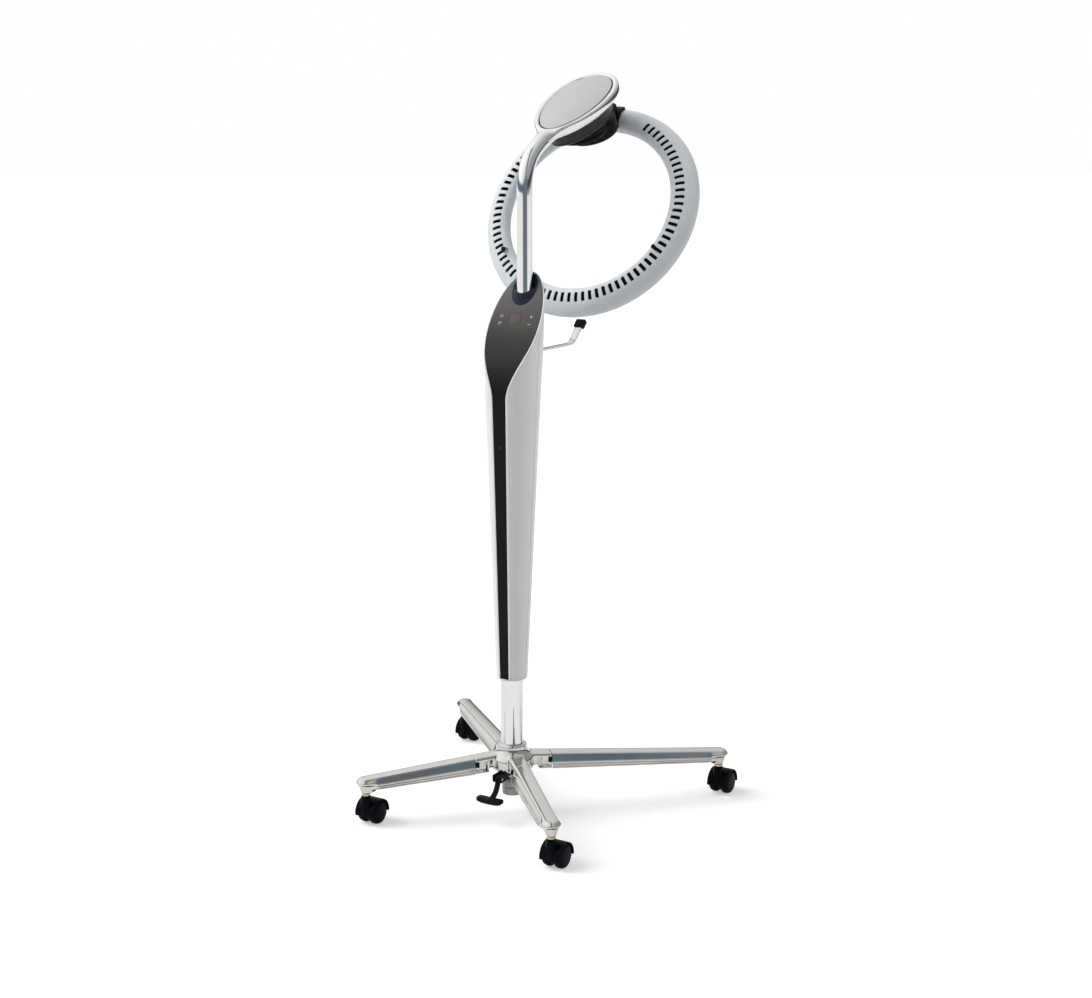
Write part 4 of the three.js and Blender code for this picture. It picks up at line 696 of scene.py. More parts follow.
def new_tree(name, sizes):
    """A geometry tree with a named input for each size. Gives the tree and its input sockets."""
    tree = bpy.data.node_groups.new(name, "GeometryNodeTree")
    for label, kind in sizes:
        tree.interface.new_socket(label, in_out="INPUT", socket_type="NodeSocket" + kind)
    tree.interface.new_socket("Geometry", in_out="OUTPUT", socket_type="NodeSocketGeometry")
    return tree, tree.nodes.new("NodeGroupInput").outputs


def close_tree(tree, geometry, material):
    real = add(tree, "GeometryNodeRealizeInstances", {"Geometry": geometry})
    dressed = add(tree, "GeometryNodeSetMaterial", {"Geometry": real.outputs[0], "Material": material})
    tree.links.new(dressed.outputs[0], tree.nodes.new("NodeGroupOutput").inputs[0])


def grown(name, tree, values, place=Matrix()):
    """Run a tree with its sizes in metres and give the result as a plain mesh in its place."""
    thing = bpy.data.objects.new(name, bpy.data.meshes.new(name))
    bpy.context.scene.collection.objects.link(thing)
    step = thing.modifiers.new(name, "NODES")
    step.node_group = tree
    for socket in tree.interface.items_tree:
        if socket.in_out == "INPUT":
            step[socket.identifier] = values[socket.name]
    settle(thing)
    shift = TO_FRAME @ place @ Matrix.Scale(1000, 4)
    thing.data.transform(shift)
    work = bmesh.new()
    work.from_mesh(thing.data)
    bmesh.ops.remove_doubles(work, verts=work.verts, dist=2e-6)
    bmesh.ops.recalc_face_normals(work, faces=work.faces)
    work.to_mesh(thing.data)
    work.free()
    return thing


def block(tree, outline, height):
    """A closed block from a flat curve: its filled face, pushed up, with the floor put back."""
    flat = add(tree, "GeometryNodeFillCurve", {"Curve": outline}, mode="NGONS")
    raised = add(tree, "GeometryNodeExtrudeMesh", {"Mesh": flat.outputs[0], "Offset Scale": height})
    under = add(tree, "GeometryNodeFlipFaces", {"Mesh": flat.outputs[0]})
    both = add(tree, "GeometryNodeJoinGeometry")
    tree.links.new(raised.outputs[0], both.inputs[0])
    tree.links.new(under.outputs[0], both.inputs[0])
    return add(tree, "GeometryNodeMergeByDistance", {"Geometry": both.outputs[0], "Distance": 1e-6}).outputs[0]


def rib_tree():
    tree, size = new_tree("ribs on a line", [("Count", "Int"), ("Spread", "Float"), ("Length", "Float"),
                                             ("Width", "Float"), ("Height", "Float")])
    outline = add(tree, "GeometryNodeCurvePrimitiveQuadrilateral",
                  {"Width": size["Length"], "Height": size["Width"]})
    ends = add(tree, "GeometryNodeFilletCurve", {"Curve": outline.outputs[0], "Radius": 0.0011, "Count": 3},
               mode="POLY")
    rib = block(tree, ends.outputs[0], size["Height"])
    half = add(tree, "ShaderNodeMath", {0: size["Spread"], 1: -0.5}, operation="MULTIPLY")
    start = add(tree, "ShaderNodeCombineXYZ", {"Y": half.outputs[0]})
    end_y = add(tree, "ShaderNodeMath", {0: size["Spread"], 1: 0.5}, operation="MULTIPLY")
    end = add(tree, "ShaderNodeCombineXYZ", {"Y": end_y.outputs[0]})
    line = add(tree, "GeometryNodeMeshLine", {"Count": size["Count"], "Start Location": start.outputs[0],
                                              "Offset": end.outputs[0]}, mode="END_POINTS")
    row = add(tree, "GeometryNodeInstanceOnPoints", {"Points": line.outputs[0], "Instance": rib})
    close_tree(tree, row.outputs[0], moulded_black)
    return tree


ribs = grown("pedal_ribs", rib_tree(), {"Count": 9, "Spread": 0.042, "Length": 0.013, "Width": 0.0022,
                                        "Height": 0.0010}, Matrix.Translation((PAD[0], 0, PAD[1] + 3.6)))
fit(ribs, moulded_black, "pedal", "black_plastic", smooth=30)
print("rib faces", len(ribs.data.polygons))

# %% Pedal bracket
bracket = prism("bracket", eased_corners([(-64, 87, 6), (-24.3, 87, 3), (-24.3, 103.7), (-64, 103.7, 2)], 4), "Y", -10.3, 10.3)
carve(bracket, prism("mouth", [(-70, 80), (-46, 80), (-46, 110), (-70, 110)], "Y", -5.3, 5.3))
carve(bracket, turned("pin_way", [(0, -20), (3.3, -20), (3.3, 20), (0, 20)], 32, pin_place))
ease(bracket, 0.8, 2, 50)
fit(bracket, moulded_black, "base", "black_plastic", "pedal_bracket", smooth=32)
print("bracket faces", len(bracket.data.polygons))

# %% [markdown]
# ## Column casing
# The casing is a tapered silver shell whose front is cut by one bent sheet: a narrow strip below that
# leans back into a slanted panel above. Modelling the edge where they meet by hand would be slow,
# and a cut gives it for free: a smooth skin through oval sections is cut by the bent face, hollowed
# by smaller copies of the same shapes, and split at its side seam into a front and a rear cover.

# %% Sections and the bent face
SECTIONS = [(308, 0, 33, 33), (927, 8, 58.5, 58), (1010, 11, 64, 61.5), (1156, 13, 65, 61.5)]
CASING_LOW, CASING_HIGH = SECTIONS[0][0], SECTIONS[-1][0]
MAST_X = 56
PANEL_Z = 1122.4
SLOPE = Vector((math.cos(rad(58)), math.sin(rad(58))))
LEAN = Vector((-0.0277, 1)).normalized()
BEND = 52
WIDE = 200


def section_at(z):
    """Middle, half depth and half width of the casing at a height, with its changes softened."""
    total = Vector((0, 0, 0))
    for step in range(-3, 4):
        h = z + step * 14
        k = next((i for i in (1, 2) if h <= SECTIONS[i][0]), 3)
        low, high = SECTIONS[k - 1], SECTIONS[k]
        total += Vector(low[1:]).lerp(Vector(high[1:]), (h - low[0]) / (high[0] - low[0]))
    return total / 7


def casing_skin(name, inset):
    rings = []
    for i in range(72):
        z = lerp(CASING_LOW, CASING_HIGH, i / 71)
        middle, a, b = section_at(z)
        turn = [2 * math.pi * k / 144 for k in range(144)]
        rings.append([(middle + (a - inset) * math.cos(t), (b - inset) * math.sin(t), z) for t in turn])
    return skinned(name, rings)


def face_line(inset, steps=28):
    """The front face seen from the side, pushed into the casing."""
    foot, mast = Vector((-30.2, CASING_LOW)), Vector((MAST_X, PANEL_Z))
    across = foot - mast
    back = (across.x * LEAN.y - across.y * LEAN.x) / (SLOPE.x * LEAN.y - SLOPE.y * LEAN.x)
    corner = mast + SLOPE * back
    start, end = corner - LEAN * BEND, corner + SLOPE * BEND
    line = [foot - LEAN * BEND]
    for i in range(steps + 1):
        t = i / steps
        line.append(start * (1 - t) ** 2 + corner * 2 * t * (1 - t) + end * t * t)
    line.append(mast + SLOPE * 100)
    pushed = []
    for i, p in enumerate(line):
        along = (line[min(i + 1, len(line) - 1)] - line[max(i - 1, 0)]).normalized()
        pushed.append((p.x + along.y * inset, p.y - along.x * inset))
    return pushed


def face_x(z):
    line = face_line(0)
    i = next(k for k in range(1, len(line)) if line[k][1] > z)
    t = (z - line[i - 1][1]) / (line[i][1] - line[i - 1][1])
    return lerp(line[i - 1][0], line[i][0], t)


print("face at the display", round(face_x(1063), 1))

# %% Shapes that cut the casing
def behind_face(inset):
    line = face_line(inset)
    return prism("behind", line + [(WIDE, line[-1][1]), (WIDE, line[0][1])], "Y", -WIDE, WIDE)


def face_layer(near, deep):
    return prism("layer", face_line(deep) + face_line(near)[::-1], "Y", -WIDE, WIDE)


def panel_outline(border):
    """The casing's cut edge seen from the front, drawn in by a border."""
    bend_foot = face_line(0)[1][1]
    heights = [lerp(CASING_LOW - 1, bend_foot, i / 12) for i in range(13)]
    heights += [lerp(bend_foot, CASING_HIGH - border, i / 60) for i in range(1, 61)]
    right = []
    for z in heights:
        middle, a, b = section_at(z)
        half = b * math.sqrt(max(1 - ((face_x(z) - middle) / a) ** 2, 0)) - border
        if half > border:
            right.append((half, z))
    return right + [(-y, z) for y, z in reversed(right)]


def oval_column(a, b):
    turn = [2 * math.pi * k / 96 for k in range(96)]
    return prism("oval", [(MAST_X + a * math.cos(t), b * math.sin(t)) for t in turn], "Z", 900, 1300)


def rear_region(gap):
    seam = [(section_at(z)[0] + gap, z) for z in range(300, 1171, 10)]
    block = prism("rear", seam + [(WIDE, seam[-1][1]), (WIDE, seam[0][1])], "Y", -WIDE, WIDE)
    return carve(block, behind_face(14 + gap), "INTERSECT")


DECK = 3.4


def casing_shell(name):
    shell = carve(casing_skin(name, 0), behind_face(0), "INTERSECT")
    hollow = carve(casing_skin("hollow", 2.5), behind_face(DECK), "INTERSECT")
    carve(shell, hollow)
    mouth = carve(turned("mouth", [(0, 300), (30.5, 300), (30.5, 310), (0, 310)], 96), behind_face(DECK), "INTERSECT")
    return carve(shell, mouth)


print("panel outline points", len(panel_outline(3)))

# %% Front of the casing
casing_front = casing_shell("casing_front_shell")
carve(casing_front, rear_region(-0.45))
recess = carve(prism("recess", panel_outline(3), "X", -WIDE, WIDE), face_layer(-1, 1.8), "INTERSECT")
carve(casing_front, recess)
carve(casing_front, oval_column(20.3, 28.3))
ease(casing_front, 0.8, 2, 55)
fit(casing_front, silver_paint, "column", "casing_silver", "casing_front", smooth=22)
print("casing front faces", len(casing_front.data.polygons))

# %% Rear cover
INLET_Z = 640
inlet_back = section_at(INLET_Z)[0] + section_at(INLET_Z)[1]
casing_rear = carve(casing_shell("casing_rear_shell"), rear_region(0.45), "INTERSECT")
carve(casing_rear, prism("rest_slot", [(-8.3, 986.7), (8.3, 986.7), (8.3, 991.3), (-8.3, 991.3)], "X", MAST_X, WIDE))
carve(casing_rear, prism("inlet_way", [(-15.3, 627.7), (15.3, 627.7), (15.3, 652.3), (-15.3, 652.3)],
                         "X", inlet_back - 8, WIDE))
ease(casing_rear, 0.8, 2, 55)
fit(casing_rear, silver_paint, "column", "casing_silver", "casing_rear_cover", smooth=22)
cap = turned("bottom_cap", eased_corners([(24.3, 305), (32, 305, 1.2), (32, 307.7), (24.3, 307.7)], 3), 96)
fit(cap, silver_paint, "column", "casing_silver", "casing_bottom_cap")
print("rear cover faces", len(casing_rear.data.polygons))

# %% [markdown]
# ## Touch panel, display and marks
# One dark sheet covers the strip and the slanted panel. It is cut from a layer of the same bent face
# by the panel's outline, so it lies flush in the casing. The display is a window let into it with
# faint seven-part digits, and four small pale signs mark where fingers touch.

# %% Touch panel and display
def display_block(gap):
    y, low, high = 14.5 + gap, 1054 - gap, 1072 + gap
    block = prism("display", [(-y, low), (y, low), (y, high), (-y, high)], "X", -WIDE, WIDE)
    return carve(block, face_layer(-1 if gap else 0, 0.8 + gap), "INTERSECT")


panel = carve(prism("touch_panel", panel_outline(3.3), "X", -WIDE, WIDE), face_layer(0, 1.5), "INTERSECT")
carve(panel, prism("ends", [(-WIDE, 308), (WIDE, 308), (WIDE, 1156), (-WIDE, 1156)], "Y", -WIDE, WIDE), "INTERSECT")
carve(panel, display_block(0.15))
carve(panel, oval_column(20.3, 28.3))
ease(panel, 0.35, 2, 55)
fit(panel, dark_panel_painted_sheen, "column", "panel_black", "control_panel", smooth=22)
display = display_block(0)
display.name = "display_glass"
ease(display, 0.2, 2, 55)
fit(display, display_glass, "column", "display_red", "display_window", smooth=30)
print("panel faces", len(panel.data.polygons))

# %% Signs on the panel
def on_panel(y, along):
    """A place on the slanted panel: y across it, and a distance up its slope from the mast's axis."""
    at = Vector((MAST_X, PANEL_Z)) + SLOPE * along
    return Matrix((
        (0, SLOPE.x, -SLOPE.y, at.x),
        (-1, 0, 0, y),
        (0, SLOPE.y, SLOPE.x, at.y),
        (0, 0, 0, 1),
    ))


def flat_shape(name, outlines, place, thick=0.12):
    """Thin raised shapes from outlines of (right, up) points."""
    points, faces = [], []
    for outline in outlines:
        n, first = len(outline), len(points)
        points += [(a, b, -0.05) for a, b in outline] + [(a, b, thick) for a, b in outline]
        faces.append(tuple(range(first, first + n)))
        faces.append(tuple(range(first + n, first + 2 * n)))
        for k in range(n):
            m = (k + 1) % n
            faces.append((first + k, first + m, first + n + m, first + n + k))
    return drawn(name, points, faces, place)


def bar(x0, y0, x1, y1):
    return [(x0, y0), (x1, y0), (x1, y1), (x0, y1)]


def arc_bar(radius, width, start, end, steps=20):
    turn = [rad(lerp(start, end, i / steps)) for i in range(steps + 1)]
    return [(radius * math.cos(t), radius * math.sin(t)) for t in turn] + [
        ((radius - width) * math.cos(t), (radius - width) * math.sin(t)) for t in reversed(turn)]


SIGNS = {
    "sign_start": ((34.8, -64.0), [arc_bar(3.6, 0.9, 125, 415), bar(-0.5, 0.8, 0.5, 4.2)]),
    "sign_turn": ((34.4, -81.0), [arc_bar(3.4, 0.9, 20, 300), [(3.4, 3.4), (4.4, -0.4), (1.0, 0.6)]]),
    "sign_more": ((-35.6, -63.0), [bar(-3.2, -0.6, 3.2, 0.6), bar(-0.6, 0.6, 0.6, 3.2), bar(-0.6, -3.2, 0.6, -0.6)]),
    "sign_less": ((-35.7, -80.0), [bar(-3.2, -0.6, 3.2, 0.6)]),
}
for name, ((y, along), outlines) in SIGNS.items():
    fit(flat_shape(name, outlines, on_panel(y, along)), pale_mark, "column", "panel_black", smooth=30)
LAMP_Z = 805
lamp_place = Matrix((
    (0, LEAN.x, -LEAN.y, face_x(LAMP_Z)),
    (-1, 0, 0, 0),
    (0, LEAN.y, LEAN.x, LAMP_Z),
    (0, 0, 0, 1),
))
fit(flat_shape("strip_lamp", [circle(1.6, 24)], lamp_place), dim_mark, "column", "panel_black", smooth=30)
digits = []
for left in (-9.4, -2.9, 3.6):
    for x0, y0, x1, y1 in ((0.6, 7.2, 4.4, 8.0), (0.6, -0.4, 4.4, 0.4), (0.6, -8.0, 4.4, -7.2),
                           (0, 0.6, 0.8, 7.2), (4.2, 0.6, 5.0, 7.2), (0, -7.2, 0.8, -0.6), (4.2, -7.2, 5.0, -0.6)):
        digits.append(bar(left + x0, y0, left + x1, y1))
display_along = (1063 - PANEL_Z) / SLOPE.y
fit(flat_shape("display_digits", digits, on_panel(0, display_along), 0.06), display_mark, "column", "display_red", smooth=30)
print("signs", len(SIGNS), "digit bars", len(digits))

# %% [markdown]
# ## Boot and mast
# A blue-black boot sits in an oval hole of the panel and rises to a rim round the mast. It is a skin
# through oval rings whose heights follow two planes: the panel's, and a flatter one for the rim. The
# mast is a chromed tube along a path: straight up, then one even bend towards the drive head.

# %% Boot
MAST_RADIUS = 16.5


def boot_ring(a, b, tilt, rise):
    turn = [2 * math.pi * k / 96 for k in range(96)]
    return [(MAST_X + a * math.cos(t), b * math.sin(t), PANEL_Z + rise + a * math.cos(t) * math.tan(rad(tilt)))
            for t in turn]


per_depth = 1 / SLOPE.x
boot_rings = [boot_ring(20, 28, 58, -13 * per_depth), boot_ring(20, 28, 58, 0.7 * per_depth),
              boot_ring(19.7, 27.6, 58, 1.2 * per_depth), boot_ring(19.2, 26.9, 58, 1.5 * per_depth),
              boot_ring(18.9, 25.8, 57, 1.1 * per_depth)]
for i in range(1, 9):
    t = i / 9
    soft = t * t * (3 - 2 * t)
    boot_rings.append(boot_ring(lerp(18.9, 18.2, t), lerp(25.8, 19.2, t), lerp(57, 25, soft), lerp(1.9, -0.6, soft)))
boot_rings += [boot_ring(18.2, 18.6, 25, 0.2), boot_ring(17.7, 17.9, 25, 0.6), boot_ring(17.2, 17.2, 25, 0.2),
               boot_ring(16.8, 16.8, 25, -1.2), boot_ring(16.8, 16.8, 58, -13 * per_depth)]
boot = skinned("mast_boot", boot_rings, joined=True)
fit(boot, bezel_blue, "column", "bezel_blue_black", "mast_bezel", smooth=40)
print("boot faces", len(boot.data.polygons))

# %% Mast
HEAD = Matrix.Translation((262, 0, 1492)) @ Matrix.Rotation(rad(-28), 4, "Y")
ARM = (HEAD.to_3x3() @ Vector((1, 0, 0))).normalized()
mast_end = HEAD @ Vector((-144, 0, 0))
bend_low = Vector((MAST_X, 0, 1306))
bend_high = mast_end - ARM * 14


def mast_path():
    path = [Vector((MAST_X, 0, z)) for z in (1028, 1029, 1100, 1200, 1290)]
    a, b, c, d = bend_low, bend_low + Vector((0, 0, 60)), bend_high - ARM * 60, bend_high
    for i in range(41):
        t = i / 40
        path.append(a * (1 - t) ** 3 + b * 3 * t * (1 - t) ** 2 + c * 3 * t * t * (1 - t) + d * t ** 3)
    return path + [mast_end]


outer = tube_rings(mast_path(), lambda i: circle(MAST_RADIUS, 72))
inner = tube_rings(mast_path(), lambda i: circle(MAST_RADIUS - 2, 72))
mast = skinned("mast", outer + inner[::-1], joined=True)
fit(mast, chrome, "column", "chrome", "mast_tube", smooth=40)
print("mast faces", len(mast.data.polygons))

# %% [markdown]
# ## Drive head
# The mast flows into an egg-shaped chrome frame, as a handle flows into a spoon. A cut or a weld
# would show in chrome, so the frame is a subdivision cage: eight points round the band at sixteen
# places. Where the mast arrives, a patch of the band is opened and bridged to a round neck.

# %% Egg frame and neck
EGG = 0.12
FRAME_LENGTH, FRAME_WIDTH = 132, 77


def egg_point(t, inset, z):
    x = (FRAME_LENGTH - inset) * math.cos(t)
    return x, (FRAME_WIDTH - inset) * math.sin(t) * (1 + EGG * x / FRAME_LENGTH), z


BAND_CAGE = [(0, 0), (0.5, 9), (6.5, 11), (12.5, 9), (13, 0), (12.5, -9), (6.5, -11), (0.5, -9)]
PLACES = 16
SPREAD = 1 / (2 / 3 + math.cos(2 * math.pi / PLACES) / 3)
cage_points = []
for i in range(PLACES):
    t = 2 * math.pi * i / PLACES
    for inset, z in BAND_CAGE:
        x, y, z = egg_point(t, inset, z)
        cage_points.append((x * SPREAD, y * SPREAD, z))


def cage(i, k):
    return (i % PLACES) * 8 + k % 8


near = PLACES // 2
opened = {(near - 1, 0), (near - 1, 7), (near, 0), (near, 7)}
cage_faces = [(cage(i, k), cage(i + 1, k), cage(i + 1, k + 1), cage(i, k + 1))
              for i in range(PLACES) for k in range(8) if (i, k) not in opened]
ring_before = [cage(near - 1, 1), cage(near, 1), cage(near + 1, 1), cage(near + 1, 0),
               cage(near + 1, 7), cage(near, 7), cage(near - 1, 7), cage(near - 1, 0)]
ROUND = 1 / (2 / 3 + math.cos(math.pi / 4) / 3)
turns = [45, 90, 135, 180, 225, 270, 315, 360]
NECK = [(-138, 20.5, 14.5), (-147, 18.2, 16.6), (-154, 17.0, 16.9), (-158, 16.62, 16.62)]
for x, y, z in NECK:
    first = len(cage_points)
    cage_points += [(x, y * ROUND * math.cos(rad(a)), z * ROUND * math.sin(rad(a))) for a in turns]
    ring_after = list(range(first, first + 8))
    for k in range(8):
        cage_faces.append((ring_before[k], ring_before[(k + 1) % 8], ring_after[(k + 1) % 8], ring_after[k]))
    ring_before = ring_after
print("cage points", len(cage_points), "first places", [round(v, 1) for v in cage_points[cage(near - 1, 1)]])

# %% Smooth frame with a socket for the mast
egg_frame = drawn("egg_frame", cage_points, cage_faces, HEAD)
round_off = egg_frame.modifiers.new("round off", "SUBSURF")
round_off.levels = round_off.render_levels = 3
settle(egg_frame)
work = bmesh.new()
work.from_mesh(egg_frame.data)
mouth_edges = [e for e in work.edges if e.is_boundary]
to_local = (TO_FRAME @ HEAD).inverted()
to_world = TO_FRAME @ HEAD
for radius, x in ((16.55, -158.05), (16.55, -143.6)):
    made = bmesh.ops.extrude_edge_only(work, edges=mouth_edges)
    for v in (g for g in made["geom"] if isinstance(g, bmesh.types.BMVert)):
        p = to_local @ v.co
        flat = Vector((0, p.y, p.z)).normalized() * radius
        v.co = to_world @ Vector((x, flat.y, flat.z))
    mouth_edges = [e for e in made["geom"] if isinstance(e, bmesh.types.BMEdge) and e.is_boundary]
bmesh.ops.edgeloop_fill(work, edges=mouth_edges)
bmesh.ops.recalc_face_normals(work, faces=work.faces)
work.to_mesh(egg_frame.data)
work.free()
fit(egg_frame, chrome, "column", "chrome", "head_frame", smooth=50)
print("egg frame faces", len(egg_frame.data.polygons))

# %% [markdown]
# The cover is a shallow satin dome that sits in the frame with a thin dark gap round it. The housing
# below is a dark bowl with a bead along its lower edge. Both are skins through egg-shaped rings, and
# only the list of (inset, height) pairs differs.

# %% Cover and housing
def egg_skin(name, profile, steps=96):
    """A closed skin through egg rings, from (half length, half width, height) in order."""
    rings = []
    for a, b, z in profile:
        ring = []
        for k in range(steps):
            t = 2 * math.pi * k / steps
            x = a * math.cos(t)
            ring.append((x, b * math.sin(t) * (1 + EGG * x / FRAME_LENGTH), z))
        rings.append(ring)
    return skinned(name, rings, HEAD, joined=True)


def dome(length, width, low, crown):
    """Egg rings from the rim of a dome to its middle."""
    rings = []
    for i in range(1, 17):
        spread = math.cos(math.pi / 2 * i / 16)
        rings.append((length * spread, width * spread, low + crown * (1 - spread ** 2.2)))
    return rings


rim = eased_corners([(-2.4, 7.0), (0, 7.0, 0.5), (0, 10.2, 1.4), (-5, 10.6)], 4, closed=False)
lid_profile = [(118.2 + d, 63.2 + d, z) for d, z in rim]
lid_profile += dome(113.2, 58.2, 10.6, 7.0) + dome(113.2, 58.2, 8.6, 7.0)[::-1]
lid = egg_skin("head_lid", lid_profile)
fit(lid, satin_cover, "column", "satin_silver", "head_cover", smooth=40)

bowl_side = eased_corners([(118.7, 6.7), (118.7, -9, 6), (100.5, -38, 2), (101.3, -39.4, 0.8), (101.0, -41.6, 0.8),
                           (98, -44, 1.5), (60, -44)], 5, closed=False)
bowl_profile = []
for length, z in bowl_side:
    share = (length - 98) / (118.7 - 98)
    width = lerp(58, 63.7, share) if length >= 98 else length - 40 + 2 * (98 - length) / 38
    bowl_profile.append((length, max(width, 18.3), z))
bowl_profile += [(18.3, 18.3, -44), (18.3, 18.3, -41), (60, 30, -41), (95, 55, -41), (115.7, 60.7, -10), (115.7, 60.7, 6.7)]
bowl = egg_skin("head_bowl", bowl_profile)
fit(bowl, housing_grey, "column", "dark_plastic", "head_housing", smooth=40)
print("lid and bowl faces", len(lid.data.polygons), len(bowl.data.polygons))

# %% [markdown]
# ## Heater ring
# The ring is a slanted oval band, turned round the ring's axis: a pale back shell with a row of dark
# slots, and a front guard with windows for the heat. The slots and windows repeat at an even pitch,
# so one node tree sets rounded cutters on a circle, and each shell is cut with all of them at once.

# %% Ring frame and band section
TURN = HEAD @ Matrix.Rotation(rad(5.4), 4, "Z")
RING = TURN @ HEAD.inverted() @ Matrix.Translation((318, 0, 1270)) @ Matrix.Rotation(rad(29 - 90), 4, "Y")
RING_RADIUS = 217
BAND_WIDTH, BAND_THICK = 31, 21
SLANT = rad(26)
RING_STEPS = 252


def band_point(across, out):
    """Radius and height of a point of the band: across to its outer edge, out to its back."""
    return (RING_RADIUS + across * math.cos(SLANT) + out * math.sin(SLANT),
            out * math.cos(SLANT) - across * math.sin(SLANT))


def band_oval(inset, start, end, count):
    line = []
    for i in range(count + 1):
        a = rad(lerp(start, end, i / count))
        line.append(band_point((BAND_WIDTH - inset) * math.cos(a), (BAND_THICK - inset) * math.sin(a)))
    return line


print("ring middle", [round(v, 1) for v in RING.translation])

# %% A node tree for rounded cutters on a circle
def cutter_tree():
    tree, size = new_tree("cutters on a circle", [
        ("Count", "Int"), ("First", "Float"), ("Pitch", "Float"), ("Radius", "Float"), ("Height", "Float"),
        ("Slant", "Float"), ("Across", "Float"), ("Along", "Float"), ("Depth", "Float"), ("Corner", "Float")])
    outline = add(tree, "GeometryNodeCurvePrimitiveQuadrilateral",
                  {"Width": size["Across"], "Height": size["Along"]})
    eased = add(tree, "GeometryNodeFilletCurve", {"Curve": outline.outputs[0], "Radius": size["Corner"], "Count": 4},
                mode="POLY")
    cutter = block(tree, eased.outputs[0], size["Depth"])
    sink = add(tree, "ShaderNodeMath", {0: size["Depth"], 1: -0.5}, operation="MULTIPLY")
    drop = add(tree, "ShaderNodeCombineXYZ", {"Z": sink.outputs[0]})
    centred = add(tree, "GeometryNodeTransform", {"Geometry": cutter, "Translation": drop.outputs[0]})
    index = add(tree, "GeometryNodeInputIndex")
    angle = add(tree, "ShaderNodeMath", {0: index.outputs[0], 1: size["Pitch"], 2: size["First"]},
                operation="MULTIPLY_ADD")
    cos = add(tree, "ShaderNodeMath", {0: angle.outputs[0]}, operation="COSINE")
    sin = add(tree, "ShaderNodeMath", {0: angle.outputs[0]}, operation="SINE")
    x = add(tree, "ShaderNodeMath", {0: cos.outputs[0], 1: size["Radius"]}, operation="MULTIPLY")
    y = add(tree, "ShaderNodeMath", {0: sin.outputs[0], 1: size["Radius"]}, operation="MULTIPLY")
    place = add(tree, "ShaderNodeCombineXYZ", {"X": x.outputs[0], "Y": y.outputs[0], "Z": size["Height"]})
    turn = add(tree, "ShaderNodeCombineXYZ", {"Y": size["Slant"], "Z": angle.outputs[0]})
    points = add(tree, "GeometryNodePoints", {"Count": size["Count"], "Position": place.outputs[0]})
    row = add(tree, "GeometryNodeInstanceOnPoints",
              {"Points": points.outputs[0], "Instance": centred.outputs[0], "Rotation": turn.outputs[0]})
    close_tree(tree, row.outputs[0], ring_shell)
    return tree


cutters = cutter_tree()
print("cutter tree nodes", len(cutters.nodes))

# %% Back shell with its slots
SLOTS = 71
PITCH = 2 * math.pi / 84
slot_radius, slot_height = band_point(-12.7, 18)
back_profile = band_oval(0, -12, 192, 48) + band_oval(2.5, 192, -12, 32)
back = turned("ring_back", back_profile, RING_STEPS, RING)
slots = grown("slots", cutters, {
    "Count": SLOTS, "First": math.pi - (SLOTS - 1) / 2 * PITCH, "Pitch": PITCH,
    "Radius": slot_radius / 1000, "Height": slot_height / 1000, "Slant": SLANT,
    "Across": 0.020, "Along": 0.0078, "Depth": 0.020, "Corner": 0.0018}, RING)
carve(back, slots)
fit(back, ring_shell, "heater_ring", "ring_plastic", "ring_back_shell", smooth=34)
print("back shell faces", len(back.data.polygons))

# %% Front guard with its windows
window_radius, window_height = band_point(0, -21)
guard_profile = band_oval(0, 193, 347, 36) + band_oval(2.5, 347, 193, 28)
guard = turned("ring_guard", guard_profile, RING_STEPS, RING)
windows = grown("windows", cutters, {
    "Count": 12, "First": 0.0, "Pitch": math.pi / 6, "Radius": window_radius / 1000,
    "Height": window_height / 1000, "Slant": SLANT, "Across": 0.036, "Along": 0.080, "Depth": 0.0315,
    "Corner": 0.010}, RING)
carve(guard, windows)
fit(guard, ring_shell, "heater_ring", "ring_plastic", "ring_front_guard", smooth=34)
print("guard faces", len(guard.data.polygons))

# %% [markdown]
# Behind the slots lies the back of the reflector. Its back and the inside of the back shell are
# painted near-black as painted shade, so the slots read as black, while the reflector's bright front
# faces the windows. One turned plate carries both finishes, picked by which way a face looks. The
# heater is a frosted quartz tube all the way round, a little below the reflector.

# %% Reflector, heater and painted shade inside the ring
REFLECTOR_BACK = 21 - 2.5 - 7
seat = math.asin(REFLECTOR_BACK / 18.5)
half_plate = 28.5 * math.cos(seat) - FIT
plate_line = [band_point(half_plate, REFLECTOR_BACK), band_point(-half_plate, REFLECTOR_BACK),
              band_point(-half_plate, REFLECTOR_BACK - 1), band_point(half_plate, REFLECTOR_BACK - 1)]
plate = turned("reflector_plate", plate_line, RING_STEPS, RING)
fit(plate, [painted_shade_black, bright_plate], "heater_ring", "satin_silver", "ring_reflector", smooth=34)
# Faces of the plate that look to the back get the near-black painted shade; the others get the bright finish.
back_way = (RING.to_3x3() @ Vector((0, 0, 1))).normalized()
for face in plate.data.polygons:
    face.material_index = 0 if face.normal.dot(back_way) > -0.2 else 1
heater_r, heater_z = band_point(0, REFLECTOR_BACK - 1 - FIT - 4)
tube_line = [(heater_r + 4 * math.cos(rad(a)), heater_z + 4 * math.sin(rad(a))) for a in range(0, 360, 30)]
heater = turned("heater_tube", tube_line, RING_STEPS, RING)
fit(heater, frosted_quartz, "heater_ring", "quartz", "ring_heater", smooth=40)
